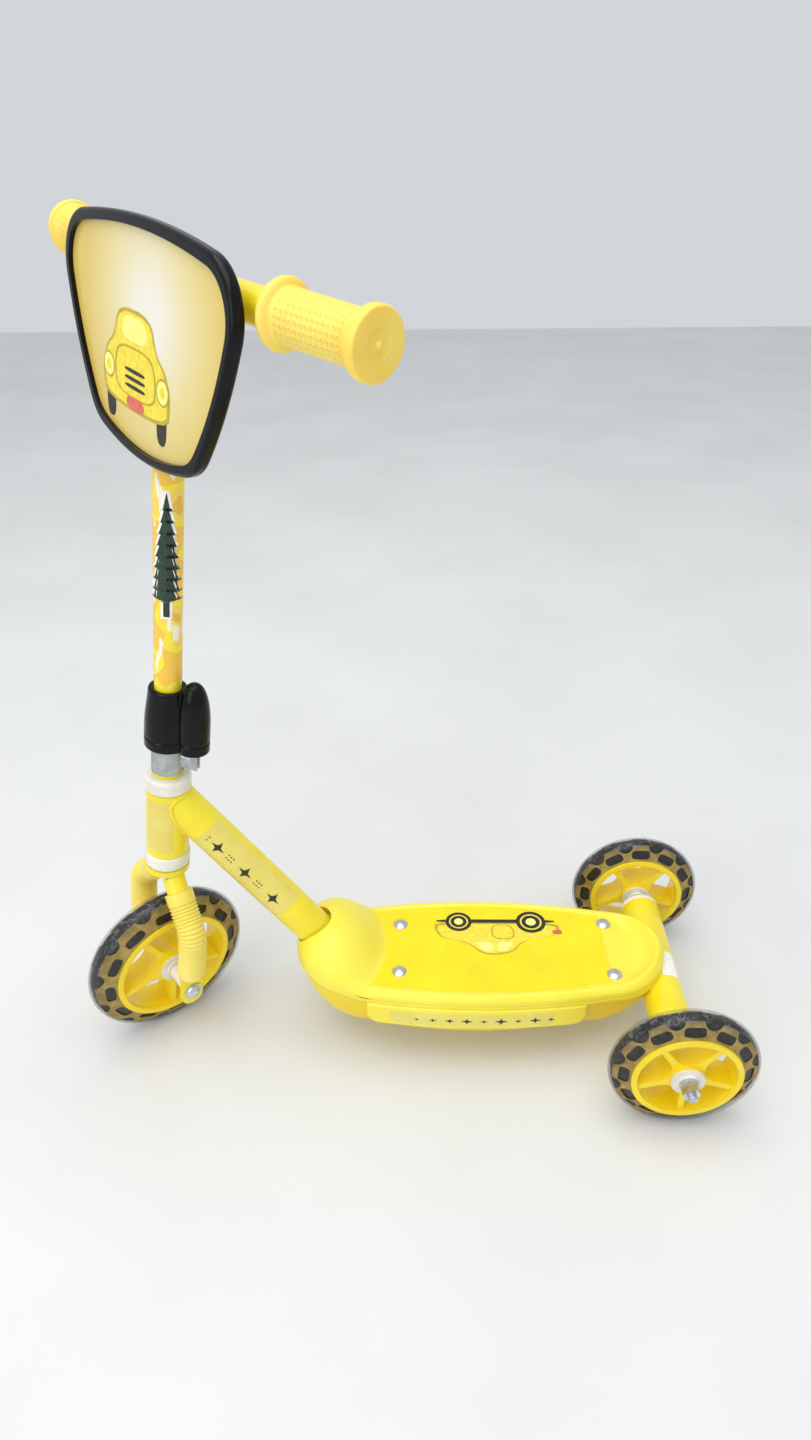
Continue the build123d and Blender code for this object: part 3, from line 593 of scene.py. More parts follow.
def decal(outline, spot, lift, thick=0.12):
    """Rings of a thin printed shape.  spot turns (along, across, height) into a point."""
    count = len(outline)
    middle = (sum(p[0] for p in outline) / count, sum(p[1] for p in outline) / count)
    levels = [(1.0, lift - 0.4)] + [(share, lift + thick) for share in (1.0, 0.7, 0.35, 0.04)]
    rings = []
    for share, z in levels:
        drawn = [[m + (v - m) * share for v, m in zip(point, middle)] for point in outline]
        rings.append([spot(s, t, z) for s, t in drawn])
    return rings


def lozenge(middle, length, width):
    """A diamond with slightly hollow sides."""
    corners = [(0.5, 0), (0.1, 0.15), (0, 0.5), (-0.1, 0.15)]
    corners += [(-s, -t) for s, t in corners]
    return [(middle[0] + s * length, middle[1] + t * width) for s, t in corners]


def panel_y(x):
    """How far out the panel's face is at a distance from the rear axle."""
    for (x0, y0), (x1, y1) in zip(panel_run, panel_run[1:]):
        if min(x0, x1) <= x <= max(x0, x1):
            return y0 + (y1 - y0) * (x - x0) / (x1 - x0) + PANEL_PROUD
    return panel_run[-1][1] + PANEL_PROUD


black_ink = ink("black_ink", "#1B1712")
label_film = clear_film("clear_label", "#FBF6A6", 0.4)
label_run = [p for p in panel_run if LABEL_REAR <= p[0] <= LABEL_FRONT]
marks = [(104, 6), (118, 10), (133, 6), (148, 11), (163, 6), (178, 10), (193, 8), (208, 6), (222, 4)]
for side, name in ((1, "left"), (-1, "right")):
    rings = panel_rings(PANEL_BOTTOM, PANEL_TOP, PANEL_PROUD, 4.0, 2.2, panel_run, side)
    piece("side_panel_" + name, [(rings, 0)], from_rear_axle, [lemon], "frame")
    label = panel_rings(PANEL_BOTTOM + 4, PANEL_TOP - 5, PANEL_PROUD + 0.15, 0.0, 0.4, label_run, side)
    piece("side_label_" + name, [(label, 0)], from_rear_axle, [label_film], "frame")

    def on_panel(along, up, lift, side=side):
        """A place on this side's panel."""
        return (along, side * (panel_y(along) + lift), up)

    prints = [(decal(lozenge((x, 62.0), size, size * 0.7), on_panel, 0.16), 0) for x, size in marks]
    piece("side_print_" + name, prints, from_rear_axle, [black_ink], "frame")

# ---- The grip film: a ribbed PVC sheet let into the deck's top.  Its fine slanting ribs are drawn
# 2.4 mm apart, a little coarser than the real ones, so that they show.  It is screen printed with
# a plain toy car.

RIB_PITCH = 2.4
FILM_TOP = 87.6


def ribbed_vinyl():
    """Calendered PVC: strong yellow with a satin gloss, embossed with slanting ribs."""
    made, tree, surface = material("ribbed_vinyl", Roughness=0.4, IOR=1.53)
    place = mottle(tree, surface, "#FFEE00", "#F8E400", 40)
    slant = put(
        tree, "Mapping", {"Rotation": (0, 0, math.radians(35))}, {"Vector": place.outputs["Object"]}
    )
    ribs = put(
        tree,
        "TexWave",
        {"Scale": WAVE_PERIOD / (RIB_PITCH * MM), "bands_direction": "X"},
        {"Vector": slant.outputs[0]},
    )
    bump = put(tree, "Bump", {"Strength": 1.0, "Distance": 0.5 * MM}, {"Height": ribs.outputs["Fac"]})
    tree.links.new(bump.outputs[0], surface.inputs["Normal"])
    return made


paint(["deck_grip_film"], ribbed_vinyl())


def on_film(along, across, lift):
    """A place on the film."""
    return (along, across, FILM_TOP + lift)


tan_ink = ink("tan_ink", "#B7A018")
pale_ink = ink("pale_ink", "#F6EE7A")
red_ink = ink("red_ink", "#D2604A")
yellow_ink = ink("yellow_ink", "#EBD433")
INKS = [black_ink, tan_ink, pale_ink, red_ink, yellow_ink]
BLACK, TAN, PALE, RED, YELLOW = range(5)
PRINT_LIFT, PRINT_THICK = 0.02, 0.02
LAYER_STEP = 0.0325
CORNER_CUT = 0.22


def disc(middle, radius, steps=28):
    """A round printed dot."""
    turns = [math.tau * i / steps for i in range(steps)]
    return [(middle[0] + radius * math.cos(t), middle[1] + radius * math.sin(t)) for t in turns]


def softened(outline, rounds=2):
    """Cuts an outline's corners into curves."""
    for _ in range(rounds):
        cut = []
        for (x, y), (u, v) in zip(outline, outline[1:] + outline[:1]):
            for a in (CORNER_CUT, 1 - CORNER_CUT):
                cut.append((x + (u - x) * a, y + (v - y) * a))
        outline = cut
    return outline


def toy_car(place, size, spot):
    """A simple toy car seen from its side: layers of flat shapes, each printed over the last."""
    layers = []
    body = [(-52, 0), (-54, 10), (-44, 18), (-22, 21), (-12, 36)]
    body += [(12, 38), (25, 23), (46, 19), (52, 8), (50, 0)]
    rear_glass = [(-15, 23), (-8, 33), (0, 34), (0, 23)]
    front_glass = [(3, 23), (3, 34), (11, 34), (20, 23)]
    door = [(-14, 3), (-16, 20), (4, 20), (4, 3)]
    sill = [(-50, -3), (-50, 1), (50, 1), (50, -3)]
    shapes = [(body, TAN), ([(x * 0.95, 2.4 + y * 0.89) for x, y in body], YELLOW), (sill, BLACK)]
    shapes += [(door, TAN), ([(x * 0.88 - 0.6, 1.3 + y * 0.88) for x, y in door], YELLOW)]
    shapes += [(rear_glass, PALE), (front_glass, PALE), ([(-55, 9), (-55, 14), (-47, 14), (-47, 9)], RED)]
    for x, wheel_size in ((-30, 12.5), (31, 11.0)):
        for share, colour in ((1.0, BLACK), (0.74, YELLOW), (0.62, BLACK), (0.34, PALE)):
            shapes.append((disc((x, 0), wheel_size * share), colour))
    for number, (outline, colour) in enumerate(shapes):
        moved = [(place[0] + x * size, place[1] + y * size) for x, y in softened(outline)]
        layers.append((decal(moved, spot, PRINT_LIFT + number * LAYER_STEP, PRINT_THICK), colour))
    return layers


prints = toy_car((148, -32), 1.12, on_film)
piece("deck_print", prints, from_rear_axle, INKS, "frame")

# ---- The fork: two bent steel tubes with pressed-flat ends, welded under a thick crown and powder
# coated with the steerer.  A corrugated polyethylene sleeve is pushed over each leg.

paint(["steerer_tube", "fork_crown", "fork_leg_left", "fork_leg_right"], enamel)

LEG_START, LEG_TOP = 11.0, 106.0
LEG_SPREAD, LEG_KNEE = 47.0, 66.0
LEG_BEND = 26.0
SLEEVE_RADIUS, SLEEVE_BORE = 12.1, 9.75
SLEEVE_BARE, SLEEVE_END = 14.0, 20.0
SLEEVE_COLLAR = 9.0
RIB_STEP, RIB_DEPTH = 3.0, 1.5
RIB_SLICES = 6
RIB_EASE = 2.0


def bent_line(start, knee, end, radius, step):
    """Points and directions along two straight runs joined by a round bend."""
    into, out = (knee - start).normalized(), (end - knee).normalized()
    angle = into.angle(out)
    reach = radius * math.tan(angle / 2)
    side = (out - into * out.dot(into)).normalized()
    straight_run = (knee - start).length - reach
    bend = radius * angle
    total = straight_run + bend + (end - knee).length - reach
    line = []
    count = int(total / step)
    for i in range(count + 1):
        along = total * i / count
        if along < straight_run:
            line.append((along, start + into * along, into))
        elif along < straight_run + bend:
            turn = (along - straight_run) / radius
            point = knee + into * (radius * math.sin(turn) - reach) + side * radius * (1 - math.cos(turn))
            line.append((along, point, into * math.cos(turn) + side * math.sin(turn)))
        else:
            over = along - straight_run - bend
            line.append((along, knee + out * (reach + over), out))
    return line


def hoop(point, way, radius, steps=40):
    """A ring of points round a line."""
    across = Vector((1, 0, 0))
    other = way.cross(across)
    turns = [math.tau * i / steps for i in range(steps)]
    return [point + radius * (across * math.cos(t) + other * math.sin(t)) for t in turns]


def sleeve_rings(side):
    """Outside from top to bottom with its corrugations, then back up the bore."""
    start = Vector((0, side * LEG_START, LEG_TOP))
    knee = Vector((0, side * LEG_SPREAD, LEG_KNEE))
    end = Vector((0, side * LEG_SPREAD, SLEEVE_END))
    start += (knee - start).normalized() * SLEEVE_BARE
    outside, inside = [], []
    for along, point, way in bent_line(start, knee, end, LEG_BEND, RIB_STEP / RIB_SLICES):
        ribbed = min(max((along - SLEEVE_COLLAR) / RIB_EASE, 0.0), 1.0)
        wave = (0.5 - 0.5 * math.cos(math.tau * (along - SLEEVE_COLLAR) / RIB_STEP)) ** 0.5
        radius = SLEEVE_RADIUS - ribbed * RIB_DEPTH * (1 - wave)
        outside.append(hoop(point, way, radius))
        inside.append(hoop(point, way, SLEEVE_BORE))
    return outside + inside[::-1]


sleeve_plastic = polypropylene("sleeve_polyethylene", "#F9E676", "#F2DC5C")
for side, name in ((1, "left"), (-1, "right")):
    piece(
        "ribbed_sleeve_" + name,
        [(sleeve_rings(side), 0)],
        steered,
        [sleeve_plastic],
        "fork",
        ["fork_sleeve_" + name],
        closed=True,
        sharp=60,
    )

# ---- The clamp: a hot-dip galvanised steel band with two ears, and the black ABS cap over it.  The
# cap has a wide lobe round the stem and a narrow, taller one over the bolt, glossy as moulded.


def galvanised():
    """Hot-dip zinc: dull grey crystals of several tones, about 5 mm across."""
    made, tree, surface = material("galvanised_steel", Metallic=0.85, Roughness=0.46)
    place = put(tree, "TexCoord")
    crystals = put(tree, "TexVoronoi", {"Scale": 1 / (5 * MM)}, {"Vector": place.outputs["Object"]})
    tone = put(tree, "ValToRGB", links={0: crystals.outputs["Color"]})
    for stop, colour in zip(tone.color_ramp.elements, ("#A2A6A8", "#C2C6C7")):
        stop.color = srgb(colour)
    tree.links.new(tone.outputs[0], surface.inputs["Base Color"])
    grain(tree, surface, place, 1.2, 0.05, 0.4)
    return made


paint(["clamp_collar"], galvanised())

CLAMP_TURN = math.radians(125)
CAP_LOW, CAP_TOP = 240.0, 292.0
CAP_RADIUS, CAP_TOP_SHARE = 18.5, 0.8
CAP_BORE = 11.0
LOBE_OFFSET, LOBE_RADIUS, LOBE_TOP, LOBE_DOME = 22.2, 13.0, 300.5, 36.0
GROOVE_DEPTH = 0.9
CAP_VOXEL, CAP_EASING = 0.55, 3


def rounded(profile, radius, steps=5):
    """Replaces the corners of an open profile with short curves."""
    points = [Vector(p) for p in profile]
    eased = [points[0]]
    for before, here, after in zip(points, points[1:], points[2:]):
        reach = min(radius, (here - before).length * 0.45, (after - here).length * 0.45)
        first = here + (before - here).normalized() * reach
        last = here + (after - here).normalized() * reach
        for i in range(steps + 1):
            t = i / steps
            eased.append(first * (1 - t) ** 2 + here * 2 * t * (1 - t) + last * t * t)
    return [tuple(p) for p in eased + [points[-1]]]


def black_plastic(name, rough):
    """Moulded ABS in black, glossy, with fine handling scratches."""
    made, tree, surface = material(name, Roughness=rough, IOR=1.5, Specular_IOR_Level=0.2)
    place = mottle(tree, surface, "#0D0E10", "#070809", 25)
    grain(tree, surface, place, 1.0, 0.03, 0.6)
    return made


def smoothed(thing, voxel, rounds):
    """Joins overlapping lumps of a piece into one skin."""
    lumps = thing.modifiers.new("lumps", "REMESH")
    lumps.mode = "VOXEL"
    lumps.voxel_size = voxel * MM
    lumps.use_smooth_shade = True
    ease = thing.modifiers.new("ease", "SMOOTH")
    ease.iterations = rounds
    bpy.context.view_layer.update()
    finished = bpy.data.meshes.new_from_object(thing.evaluated_get(bpy.context.evaluated_depsgraph_get()))
    thing.modifiers.clear()
    thing.data = finished


def grooved(radius):
    """The foot of a lobe's side, with the shallow groove that runs round it."""
    inner = radius - GROOVE_DEPTH
    foot = [(radius, 0), (radius, 8), (inner, 8.6), (inner, 9.6), (radius, 10.2)]
    return [(r, CAP_LOW + up) for r, up in foot]


def cap_surfaces():
    """The wide lobe with its bore, and the domed lobe over the bolt, which is solid."""
    outside = grooved(CAP_RADIUS) + [(CAP_RADIUS - 0.6, CAP_LOW + 26)]
    outside += [(CAP_RADIUS * CAP_TOP_SHARE, CAP_TOP), (CAP_BORE, CAP_TOP)]
    wide = turned([(CAP_BORE, CAP_LOW), *rounded(outside, 4.0), (CAP_BORE, CAP_TOP - 0.5)])
    wide.append(wide[0])
    dome = [math.pi / 2 * i / 24 for i in range(24)]
    centre = LOBE_TOP - LOBE_DOME
    small = grooved(LOBE_RADIUS)
    small += [(LOBE_RADIUS * math.cos(t) ** 0.8, centre + LOBE_DOME * math.sin(t)) for t in dome]
    small.append((0.05, LOBE_TOP))
    narrow = [[(x + LOBE_OFFSET, y, z) for x, y, z in ring] for ring in turned(small)]
    return wide, narrow


clamp_place = steered @ Matrix.Rotation(CLAMP_TURN, 4, "Z")
wide_lobe, narrow_lobe = cap_surfaces()
abs_black = black_plastic("black_abs", 0.17)
cap = piece(
    "clamp_cap", [(narrow_lobe, 0)], clamp_place, [abs_black], "fork", ["clamp_cover"]
)
wide_mesh = bmesh.new()
wide_mesh.from_mesh(cap.data)
skin(wide_mesh, wide_lobe[:-1], closed=True)
bmesh.ops.recalc_face_normals(wide_mesh, faces=wide_mesh.faces)
wide_mesh.to_mesh(cap.data)
wide_mesh.free()
smoothed(cap, CAP_VOXEL, CAP_EASING)

# ---- The stem and crossbar: steel tube, welded in a T.  The bar is powder coated; the stem wears a
# shrunk-on printed sleeve in yellow and orange, scuffed through to white and torn at its foot.

paint(["crossbar", "stem_tube"], enamel)

STEM_RADIUS = 10.5
FILM_FOOT, FILM_HEAD = 292.0, 566.0
FILM_LIFT = 0.25
FILM_HEM = 7
TEARS = [(3.2, 3, 1), (2.0, 7, 0), (1.2, 17, 2)]


def printed_sleeve():
    """Printed shrink film: patches of yellow, orange and pale gold with crisp edges, and scuffs."""
    made, tree, surface = material("printed_shrink_film", Roughness=0.3, IOR=1.5)
    place = put(tree, "TexCoord")
    patches = put(
        tree, "TexNoise", {"Scale": 1 / (26 * MM), "Detail": 0.6}, {"Vector": place.outputs["Object"]}
    )
    tones = put(tree, "ValToRGB", links={0: patches.outputs[0]})
    tones.color_ramp.interpolation = "CONSTANT"
    ramp = tones.color_ramp.elements
    ramp[0].position, ramp[0].color = 0.0, srgb("#F6C445")
    ramp[1].position, ramp[1].color = 0.46, srgb("#FBE33A")
    for where, colour in ((0.57, "#F7D65C"), (0.66, "#F0BC3C")):
        stop = ramp.new(where)
        stop.color = srgb(colour)
    drawn_out = put(tree, "Mapping", {"Scale": (1, 1, 0.3)}, {"Vector": place.outputs["Object"]})
    scuffs = put(tree, "TexNoise", {"Scale": 1 / (9 * MM), "Detail": 4.0}, {"Vector": drawn_out.outputs[0]})
    bare = put(tree, "ValToRGB", links={0: scuffs.outputs[0]})
    bare.color_ramp.elements[0].position = 0.6
    bare.color_ramp.elements[1].position = 0.62
    worn = put(tree, "Mix", {"data_type": "RGBA"})
    tree.links.new(bare.outputs[0], worn.inputs[0])
    tree.links.new(tones.outputs[0], worn.inputs[6])
    worn.inputs[7].default_value = srgb("#F6F1E2")
    tree.links.new(worn.outputs[2], surface.inputs["Base Color"])
    grain(tree, surface, place, 3.0, 0.05, 0.2)
    return made


def torn_film_rings(steps=72, levels=40):
    """A thin sleeve whose lower edge is torn unevenly."""
    outside, inside = [], []
    for level in range(levels + 1):
        share = level / levels
        outer, inner = [], []
        for i in range(steps):
            turn = math.tau * i / steps
            foot = FILM_FOOT + FILM_HEM + sum(size * math.sin(n * turn + late) for size, n, late in TEARS)
            z = foot + (FILM_HEAD - foot) * share
            for ring, radius in ((outer, STEM_RADIUS + FILM_LIFT), (inner, STEM_RADIUS + 0.05)):
                ring.append((radius * math.cos(turn), radius * math.sin(turn), z))
        outside.append(outer)
        inside.append(inner)
    return outside + inside[::-1]


shrink_film = printed_sleeve()
torn = [(torn_film_rings(), 0)]
piece("stem_film", torn, steered, [shrink_film], "handlebar", closed=True)

STICKER_TURN = math.radians(57)
STICKER_FOOT = 356.0
STICKER_HEIGHT = 92.0
STICKER_EDGE = 1.8
TRUNK_HALF, TRUNK_HEIGHT = 2.2, 11
SKIRT_HALF, SKIRT_UP = 13.5, 13
TIERS, TIER_RISE, TIER_NARROWING = 8, 8.6, 1.45


def on_stem(along, up, lift):
    """A place on the stem: along is measured round it from the sticker's middle."""
    turn = STICKER_TURN + along / STEM_RADIUS
    radius = STEM_RADIUS + FILM_LIFT + lift
    return (radius * math.cos(turn), radius * math.sin(turn), STICKER_FOOT + up)


def fir(grow):
    """The outline of a fir of stacked tiers: up the right side and down the left."""
    side = [(TRUNK_HALF, 0), (TRUNK_HALF, TRUNK_HEIGHT), (SKIRT_HALF, SKIRT_UP)]
    for tier in range(1, TIERS + 1):
        base = SKIRT_UP + tier * TIER_RISE
        wide = SKIRT_HALF - TIER_NARROWING * tier
        side += [(wide * 0.66, base), (wide + 0.7, base - 2.2)]
    side.append((0.2, STICKER_HEIGHT))
    side = [(x + grow, y - grow if y < 1 else y + (grow if y > 85 else 0)) for x, y in side]
    return side + [(-x, y) for x, y in side[::-1]]


def draped(outline, lift):
    """Rings of a tall shape wrapped on the stem, closed by pulling both sides to its midline."""
    levels = [(1.0, lift - 0.2), (1.0, lift), (0.75, lift), (0.5, lift), (0.25, lift), (0.01, lift)]
    return [[on_stem(x * share, y, z) for x, y in outline] for share, z in levels]


white_vinyl = ink("white_vinyl", "#EFEDE6")
green_ink = ink("green_ink", "#16301F")
piece(
    "stem_sticker",
    [(draped(fir(STICKER_EDGE), 0.22), 0), (draped(fir(0.0), 0.34), 1)],
    steered,
    [white_vinyl, green_ink],
    "handlebar",
)

# ---- The grips: soft PVC, dip moulded in warm yellow and pushed on the bar.  A round hand guard at
# the inner end, rows of small dimples along the barrel, and a stepped flange with a gate mark.

BAR_HEIGHT, BAR_HALF, BAR_STRAIGHT = 581.0, 183.0, 45.0
BAR_SWEEP = math.radians(7.5)
BAR_RADIUS = 11.05
GRIP_START = 112.0
DIMPLE_PITCH = 4.0
DIMPLES_ROUND = 24
BARREL_START, BARREL_END = -61.0, -10.0


def soft_vinyl():
    """Plasticised PVC: warm yellow and soft to the eye, with a low sheen and moulded dimples."""
    made, tree, surface = material(
        "soft_vinyl", Roughness=0.46, IOR=1.53, Subsurface_Weight=0.15, Subsurface_Scale=0.006
    )
    place = mottle(tree, surface, "#FDDF66", "#FBD450", 30)
    apart = put(tree, "SeparateXYZ", links={0: place.outputs["Object"]})
    turn = put(tree, "Math", {"operation": "ARCTAN2"}, {0: apart.outputs[1], 1: apart.outputs[0]})
    up = apart.outputs[2]
    per_turn = DIMPLES_ROUND / math.tau
    round_way = put(tree, "Math", {"operation": "MULTIPLY", 1: per_turn}, {0: turn.outputs[0]})
    along = put(tree, "Math", {"operation": "MULTIPLY", 1: 1 / (DIMPLE_PITCH * MM)}, {0: up})
    grid = put(tree, "CombineXYZ", links={0: round_way.outputs[0], 1: along.outputs[0]})
    dimples = put(tree, "TexVoronoi", {"Scale": 1.0, "Randomness": 0.0}, {"Vector": grid.outputs[0]})
    hollow = put(tree, "MapRange", {1: 0.2, 2: 0.42}, {0: dimples.outputs["Distance"]})
    past = put(tree, "Math", {"operation": "GREATER_THAN", 1: BARREL_START * MM}, {0: up})
    before = put(tree, "Math", {"operation": "LESS_THAN", 1: BARREL_END * MM}, {0: up})
    barrel = put(tree, "Math", {"operation": "MULTIPLY"}, {0: past.outputs[0], 1: before.outputs[0]})
    depth = put(tree, "Math", {"operation": "MULTIPLY"}, {0: hollow.outputs[0], 1: barrel.outputs[0]})
    edge = put(tree, "Bevel", {"Radius": 0.6 * MM, "samples": 4})
    bump = put(
        tree,
        "Bump",
        {"Strength": 1.0, "Distance": 0.5 * MM},
        {"Height": depth.outputs[0], "Normal": edge.outputs[0]},
    )
    tree.links.new(bump.outputs[0], surface.inputs["Normal"])
    return made


def grip_profile(length):
    """The outside from the guard to the end flange, then the blind bore."""
    outside = [(BAR_RADIUS, -length), (17.2, -length), (19.5, -length + 1.6), (19.5, -length + 4.4)]
    outside += [(17.8, -length + 6.2), (15.2, -length + 7.4), (14.8, -8.0), (16.4, -7.2), (16.9, -4.4)]
    outside += [(18.9, -3.8), (19.2, -2.4), (19.2, 1.8), (18.3, 3.0), (8.2, 3.0), (7.6, 2.6), (2.2, 2.6)]
    outside += [(1.8, 4.3), (0.05, 4.5)]
    return rounded(outside, 1.1)


vinyl = soft_vinyl()
for side, name in ((1, "left"), (-1, "right")):
    outward = Vector((-math.sin(BAR_SWEEP), side * math.cos(BAR_SWEEP), 0))
    bar_end = Vector((-(BAR_HALF - BAR_STRAIGHT) * math.tan(BAR_SWEEP), side * BAR_HALF, BAR_HEIGHT)) * MM
    place = steered @ axes(bar_end, Vector((0, 0, 1)), outward)
    rings = turned(grip_profile((BAR_HALF - GRIP_START) / math.cos(BAR_SWEEP)), 72)
    bore = turned([(BAR_RADIUS, -0.5)], 72)
    barrel = [(bore + rings, 0)]
    piece("grip_vinyl_" + name, barrel, place, [vinyl], "handlebar", ["grip_" + name])

# ---- The number plate: a polystyrene card in a thick black moulded rim, clipped to the bar.  The
# card is printed in pale gold with a plain toy car; it is slightly creased from use.

CARD_PLACE, CARD_THICKNESS = 15.5, 2.4
CARD_FACE = CARD_PLACE + CARD_THICKNESS / 2
CARD_MIDDLE = 540.0
HIGHLIGHT_ACROSS, HIGHLIGHT_UP = 8.0, 18
CARD_STEP = 0.03
HIGHLIGHT_SPREAD = 96.0
RIM_OVERLAP = 3.6


def printed_card():
    """Gloss-printed polystyrene in gold, with a painted highlight that lightens it to silver-white round a
    spot above the middle; faintly creased.
    """
    made, tree, surface = material("printed_card", Roughness=0.24, IOR=1.59)
    place = put(tree, "TexCoord")
    # Painted highlight: the card's gold turns silver-white round a spot a little above and beside its
    # middle.
    centred = put(tree, "VectorMath", {"operation": "SUBTRACT"}, {0: place.outputs["Object"]})
    centred.inputs[1].default_value = Vector((CARD_FACE, HIGHLIGHT_ACROSS, CARD_MIDDLE + HIGHLIGHT_UP)) * MM
    spread = put(tree, "VectorMath", {"operation": "SCALE", "Scale": 1 / (HIGHLIGHT_SPREAD * MM)})
    tree.links.new(centred.outputs[0], spread.inputs[0])
    painted_highlight = put(tree, "TexGradient", {"gradient_type": "SPHERICAL"}, {"Vector": spread.outputs[0]})
    tone = put(tree, "ValToRGB", links={0: painted_highlight.outputs["Fac"]})
    stops = tone.color_ramp.elements
    stops[0].position, stops[0].color = 0.05, srgb("#DDC05E")
    stops[1].position, stops[1].color = 0.85, srgb("#EDE8D8")
    middle = stops.new(0.42)
    middle.color = srgb("#E6D591")
    tree.links.new(tone.outputs[0], surface.inputs["Base Color"])
    fine = {"Scale": 1 / (30 * MM), "Detail": 5.0, "Distortion": 1.2}
    creases = put(tree, "TexNoise", fine, {"Vector": place.outputs["Object"]})
    bump = put(tree, "Bump", {"Strength": 0.25, "Distance": 1.0 * MM}, {"Height": creases.outputs[0]})
    tree.links.new(bump.outputs[0], surface.inputs["Normal"])
    return made


gold_print = printed_card()
paint(["plate_card"], gold_print)
paint(["plate_rim"], black_plastic("black_polystyrene", 0.2))
paint(["plate_clips"], abs_black)

card_mesh = frame["nodes"]["plate_card"].data
card_points = [(steered.inverted() @ point.co) / MM for point in card_mesh.vertices]
card_flat = [Vector((point.y, point.z)) for point in card_points]
card_edge = [tuple(card_flat[i]) for i in convex_hull_2d(card_flat)]
if sum(a[0] * b[1] - a[1] * b[0] for a, b in zip(card_edge, card_edge[1:] + card_edge[:1])) < 0:
    card_edge.reverse()


def sheet_rings(levels=26):
    """The printed face sheet: a skin over the card and its screws, with shallow upright creases."""
    outline = drawn_in(card_edge, RIM_OVERLAP)
    rings = [[(CARD_FACE - 0.3, y, z) for y, z in outline]]
    for i in range(levels + 1):
        share = max(1 - i / levels, 0.004)
        ring = []
        for y, z in outline:
            across = y * share
            up = CARD_MIDDLE + (z - CARD_MIDDLE) * share
            crease = 0.09 * math.sin(across / 3.1 + 1.4 * math.sin(up / 26)) + 0.05 * math.sin(across / 7)
            ring.append((CARD_FACE + 0.2 + crease * min(1.0, i / 4), across, up))
        rings.append(ring)
    return rings


piece("plate_sheet", [(sheet_rings(), 0)], steered, [gold_print], "handlebar")


def on_card(across, up, lift):
    """A place on the printed sheet."""
    return (CARD_FACE + 0.3 + lift, across, CARD_MIDDLE - 12 + up)


def front_of_car(across, up):
    """A plain toy car from the front: tyres, body, hood, windscreen, lamps, grille and bumper."""
    half = [(-44, -22), (-48, -4), (-42, 12), (-30, 20), (-22, 40)]
    body = half + [(-x, y) for x, y in half[::-1]]
    hood = [(-28, -14), (-30, 6), (-22, 18), (22, 18), (30, 6), (28, -14)]
    glass = [(-19, 21), (-15, 36), (15, 36), (19, 21)]
    shapes = [([(x - 6, -33), (x - 7, -10), (x + 7, -10), (x + 6, -33)], BLACK) for x in (-36, 36)]
    shapes += [(body, TAN), ([(x * 0.94, y * 0.93 + 0.6) for x, y in body], YELLOW), (hood, TAN)]
    shapes += [([(x * 0.92, y * 0.92) for x, y in hood], YELLOW), (glass, PALE)]
    for x in (-38, 38):
        shapes += [(disc((x, 0), 8.5), TAN), (disc((x, 0), 7), PALE), (disc((x, 0), 3.5), YELLOW)]
    for row in range(3):
        low = -8 + 5 * row
        shapes.append(([(-14, low), (-14, low + 2.4), (14, low + 2.4), (14, low)], BLACK))
    shapes.append(([(-12, -21), (-12, -13), (12, -13), (12, -21)], RED))
    layers = []
    for number, (outline, colour) in enumerate(shapes):
        moved = [(x + across, y + up) for x, y in softened(outline)]
        layers.append((decal(moved, on_card, PRINT_LIFT + CARD_STEP * number, PRINT_THICK), colour))
    return layers


piece("plate_print", front_of_car(-12, -10), steered, INKS, "handlebar")

# ---- The tube labels: clear polyester labels, slightly yellowed, on the head tube and along the
# down tube, and a small white one on the cross tube.  Their marks are plain lozenges and dots.


def wrapped_label(radius, turn, low, high, half_angle, thick=0.16, steps=24):
    """A thin rectangle of film wrapped on a tube."""
    turns = [turn - half_angle + 2 * half_angle * i / steps for i in range(steps + 1)]
    rings = []
    for z in (low, low + (high - low) / 3, low + 2 * (high - low) / 3, high):
        outer = [((radius + thick) * math.cos(t), (radius + thick) * math.sin(t), z) for t in turns]
        inner = [((radius - 0.1) * math.cos(t), (radius - 0.1) * math.sin(t), z) for t in reversed(turns)]
        rings.append(outer + inner)
    return rings


tube_film = clear_film("clear_tube_label", "#F8F0A4", 0.42)
head_label = wrapped_label(HEAD_RADIUS, math.radians(78), 139.0, 191.0, math.radians(38))
piece("head_label", [(head_label, 0)], straight, [tube_film], "frame")

LABEL_TURN = math.radians(12)
LABEL_LOW, LABEL_HIGH = 34.0, 140.0
down_label = wrapped_label(DOWN_RADIUS, LABEL_TURN, LABEL_LOW, LABEL_HIGH, math.radians(64))
piece("down_tube_label", [(down_label, 0)], down_tube, [tube_film], "frame")


def on_down_tube(around, up, lift):
    """A place on the down tube's label."""
    turn = LABEL_TURN + around / DOWN_RADIUS
    radius = DOWN_RADIUS + lift
    return (radius * math.cos(turn), radius * math.sin(turn), up)


marks = [lozenge((0, z), 12, 15) for z in (52, 88, 122)]
dots = [disc((x, z), 0.7, 10) for z in (69, 72, 75, 104, 107, 110, 134) for x in (-1.5, 2.0)]
prints = [(decal(outline, on_down_tube, 0.2), 0) for outline in marks + dots]
piece("down_tube_print", prints, down_tube, [black_ink], "frame")

CROSS_RADIUS = 18.0
cross_tube = axes(rear_axle, Vector((1, 0, 0)), Vector((0, 1, 0)))
cross_label = wrapped_label(CROSS_RADIUS, math.radians(-114), -4.0, 26.0, math.radians(27))
piece("cross_tube_label", [(cross_label, 0)], cross_tube, [white_vinyl], "frame")

# ---- The wheels: a nylon core moulded in golden yellow, a slotted tan ring gripped by its rim, and a
# clear polyurethane tyre cast over the ring.  The tyre is smoky and scratched on its shoulder.


def moulded_nylon():
    """Moulded nylon: strong golden yellow, satin, with soft edges."""
    made, tree, surface = material(
        "golden_nylon", Roughness=0.32, IOR=1.53, Subsurface_Weight=0.05, Subsurface_Scale=0.004
    )
    place = mottle(tree, surface, "#FFE420", "#FADB14", 30)
    grain(tree, surface, place, 1.2, 0.03, 1.1)
    return made


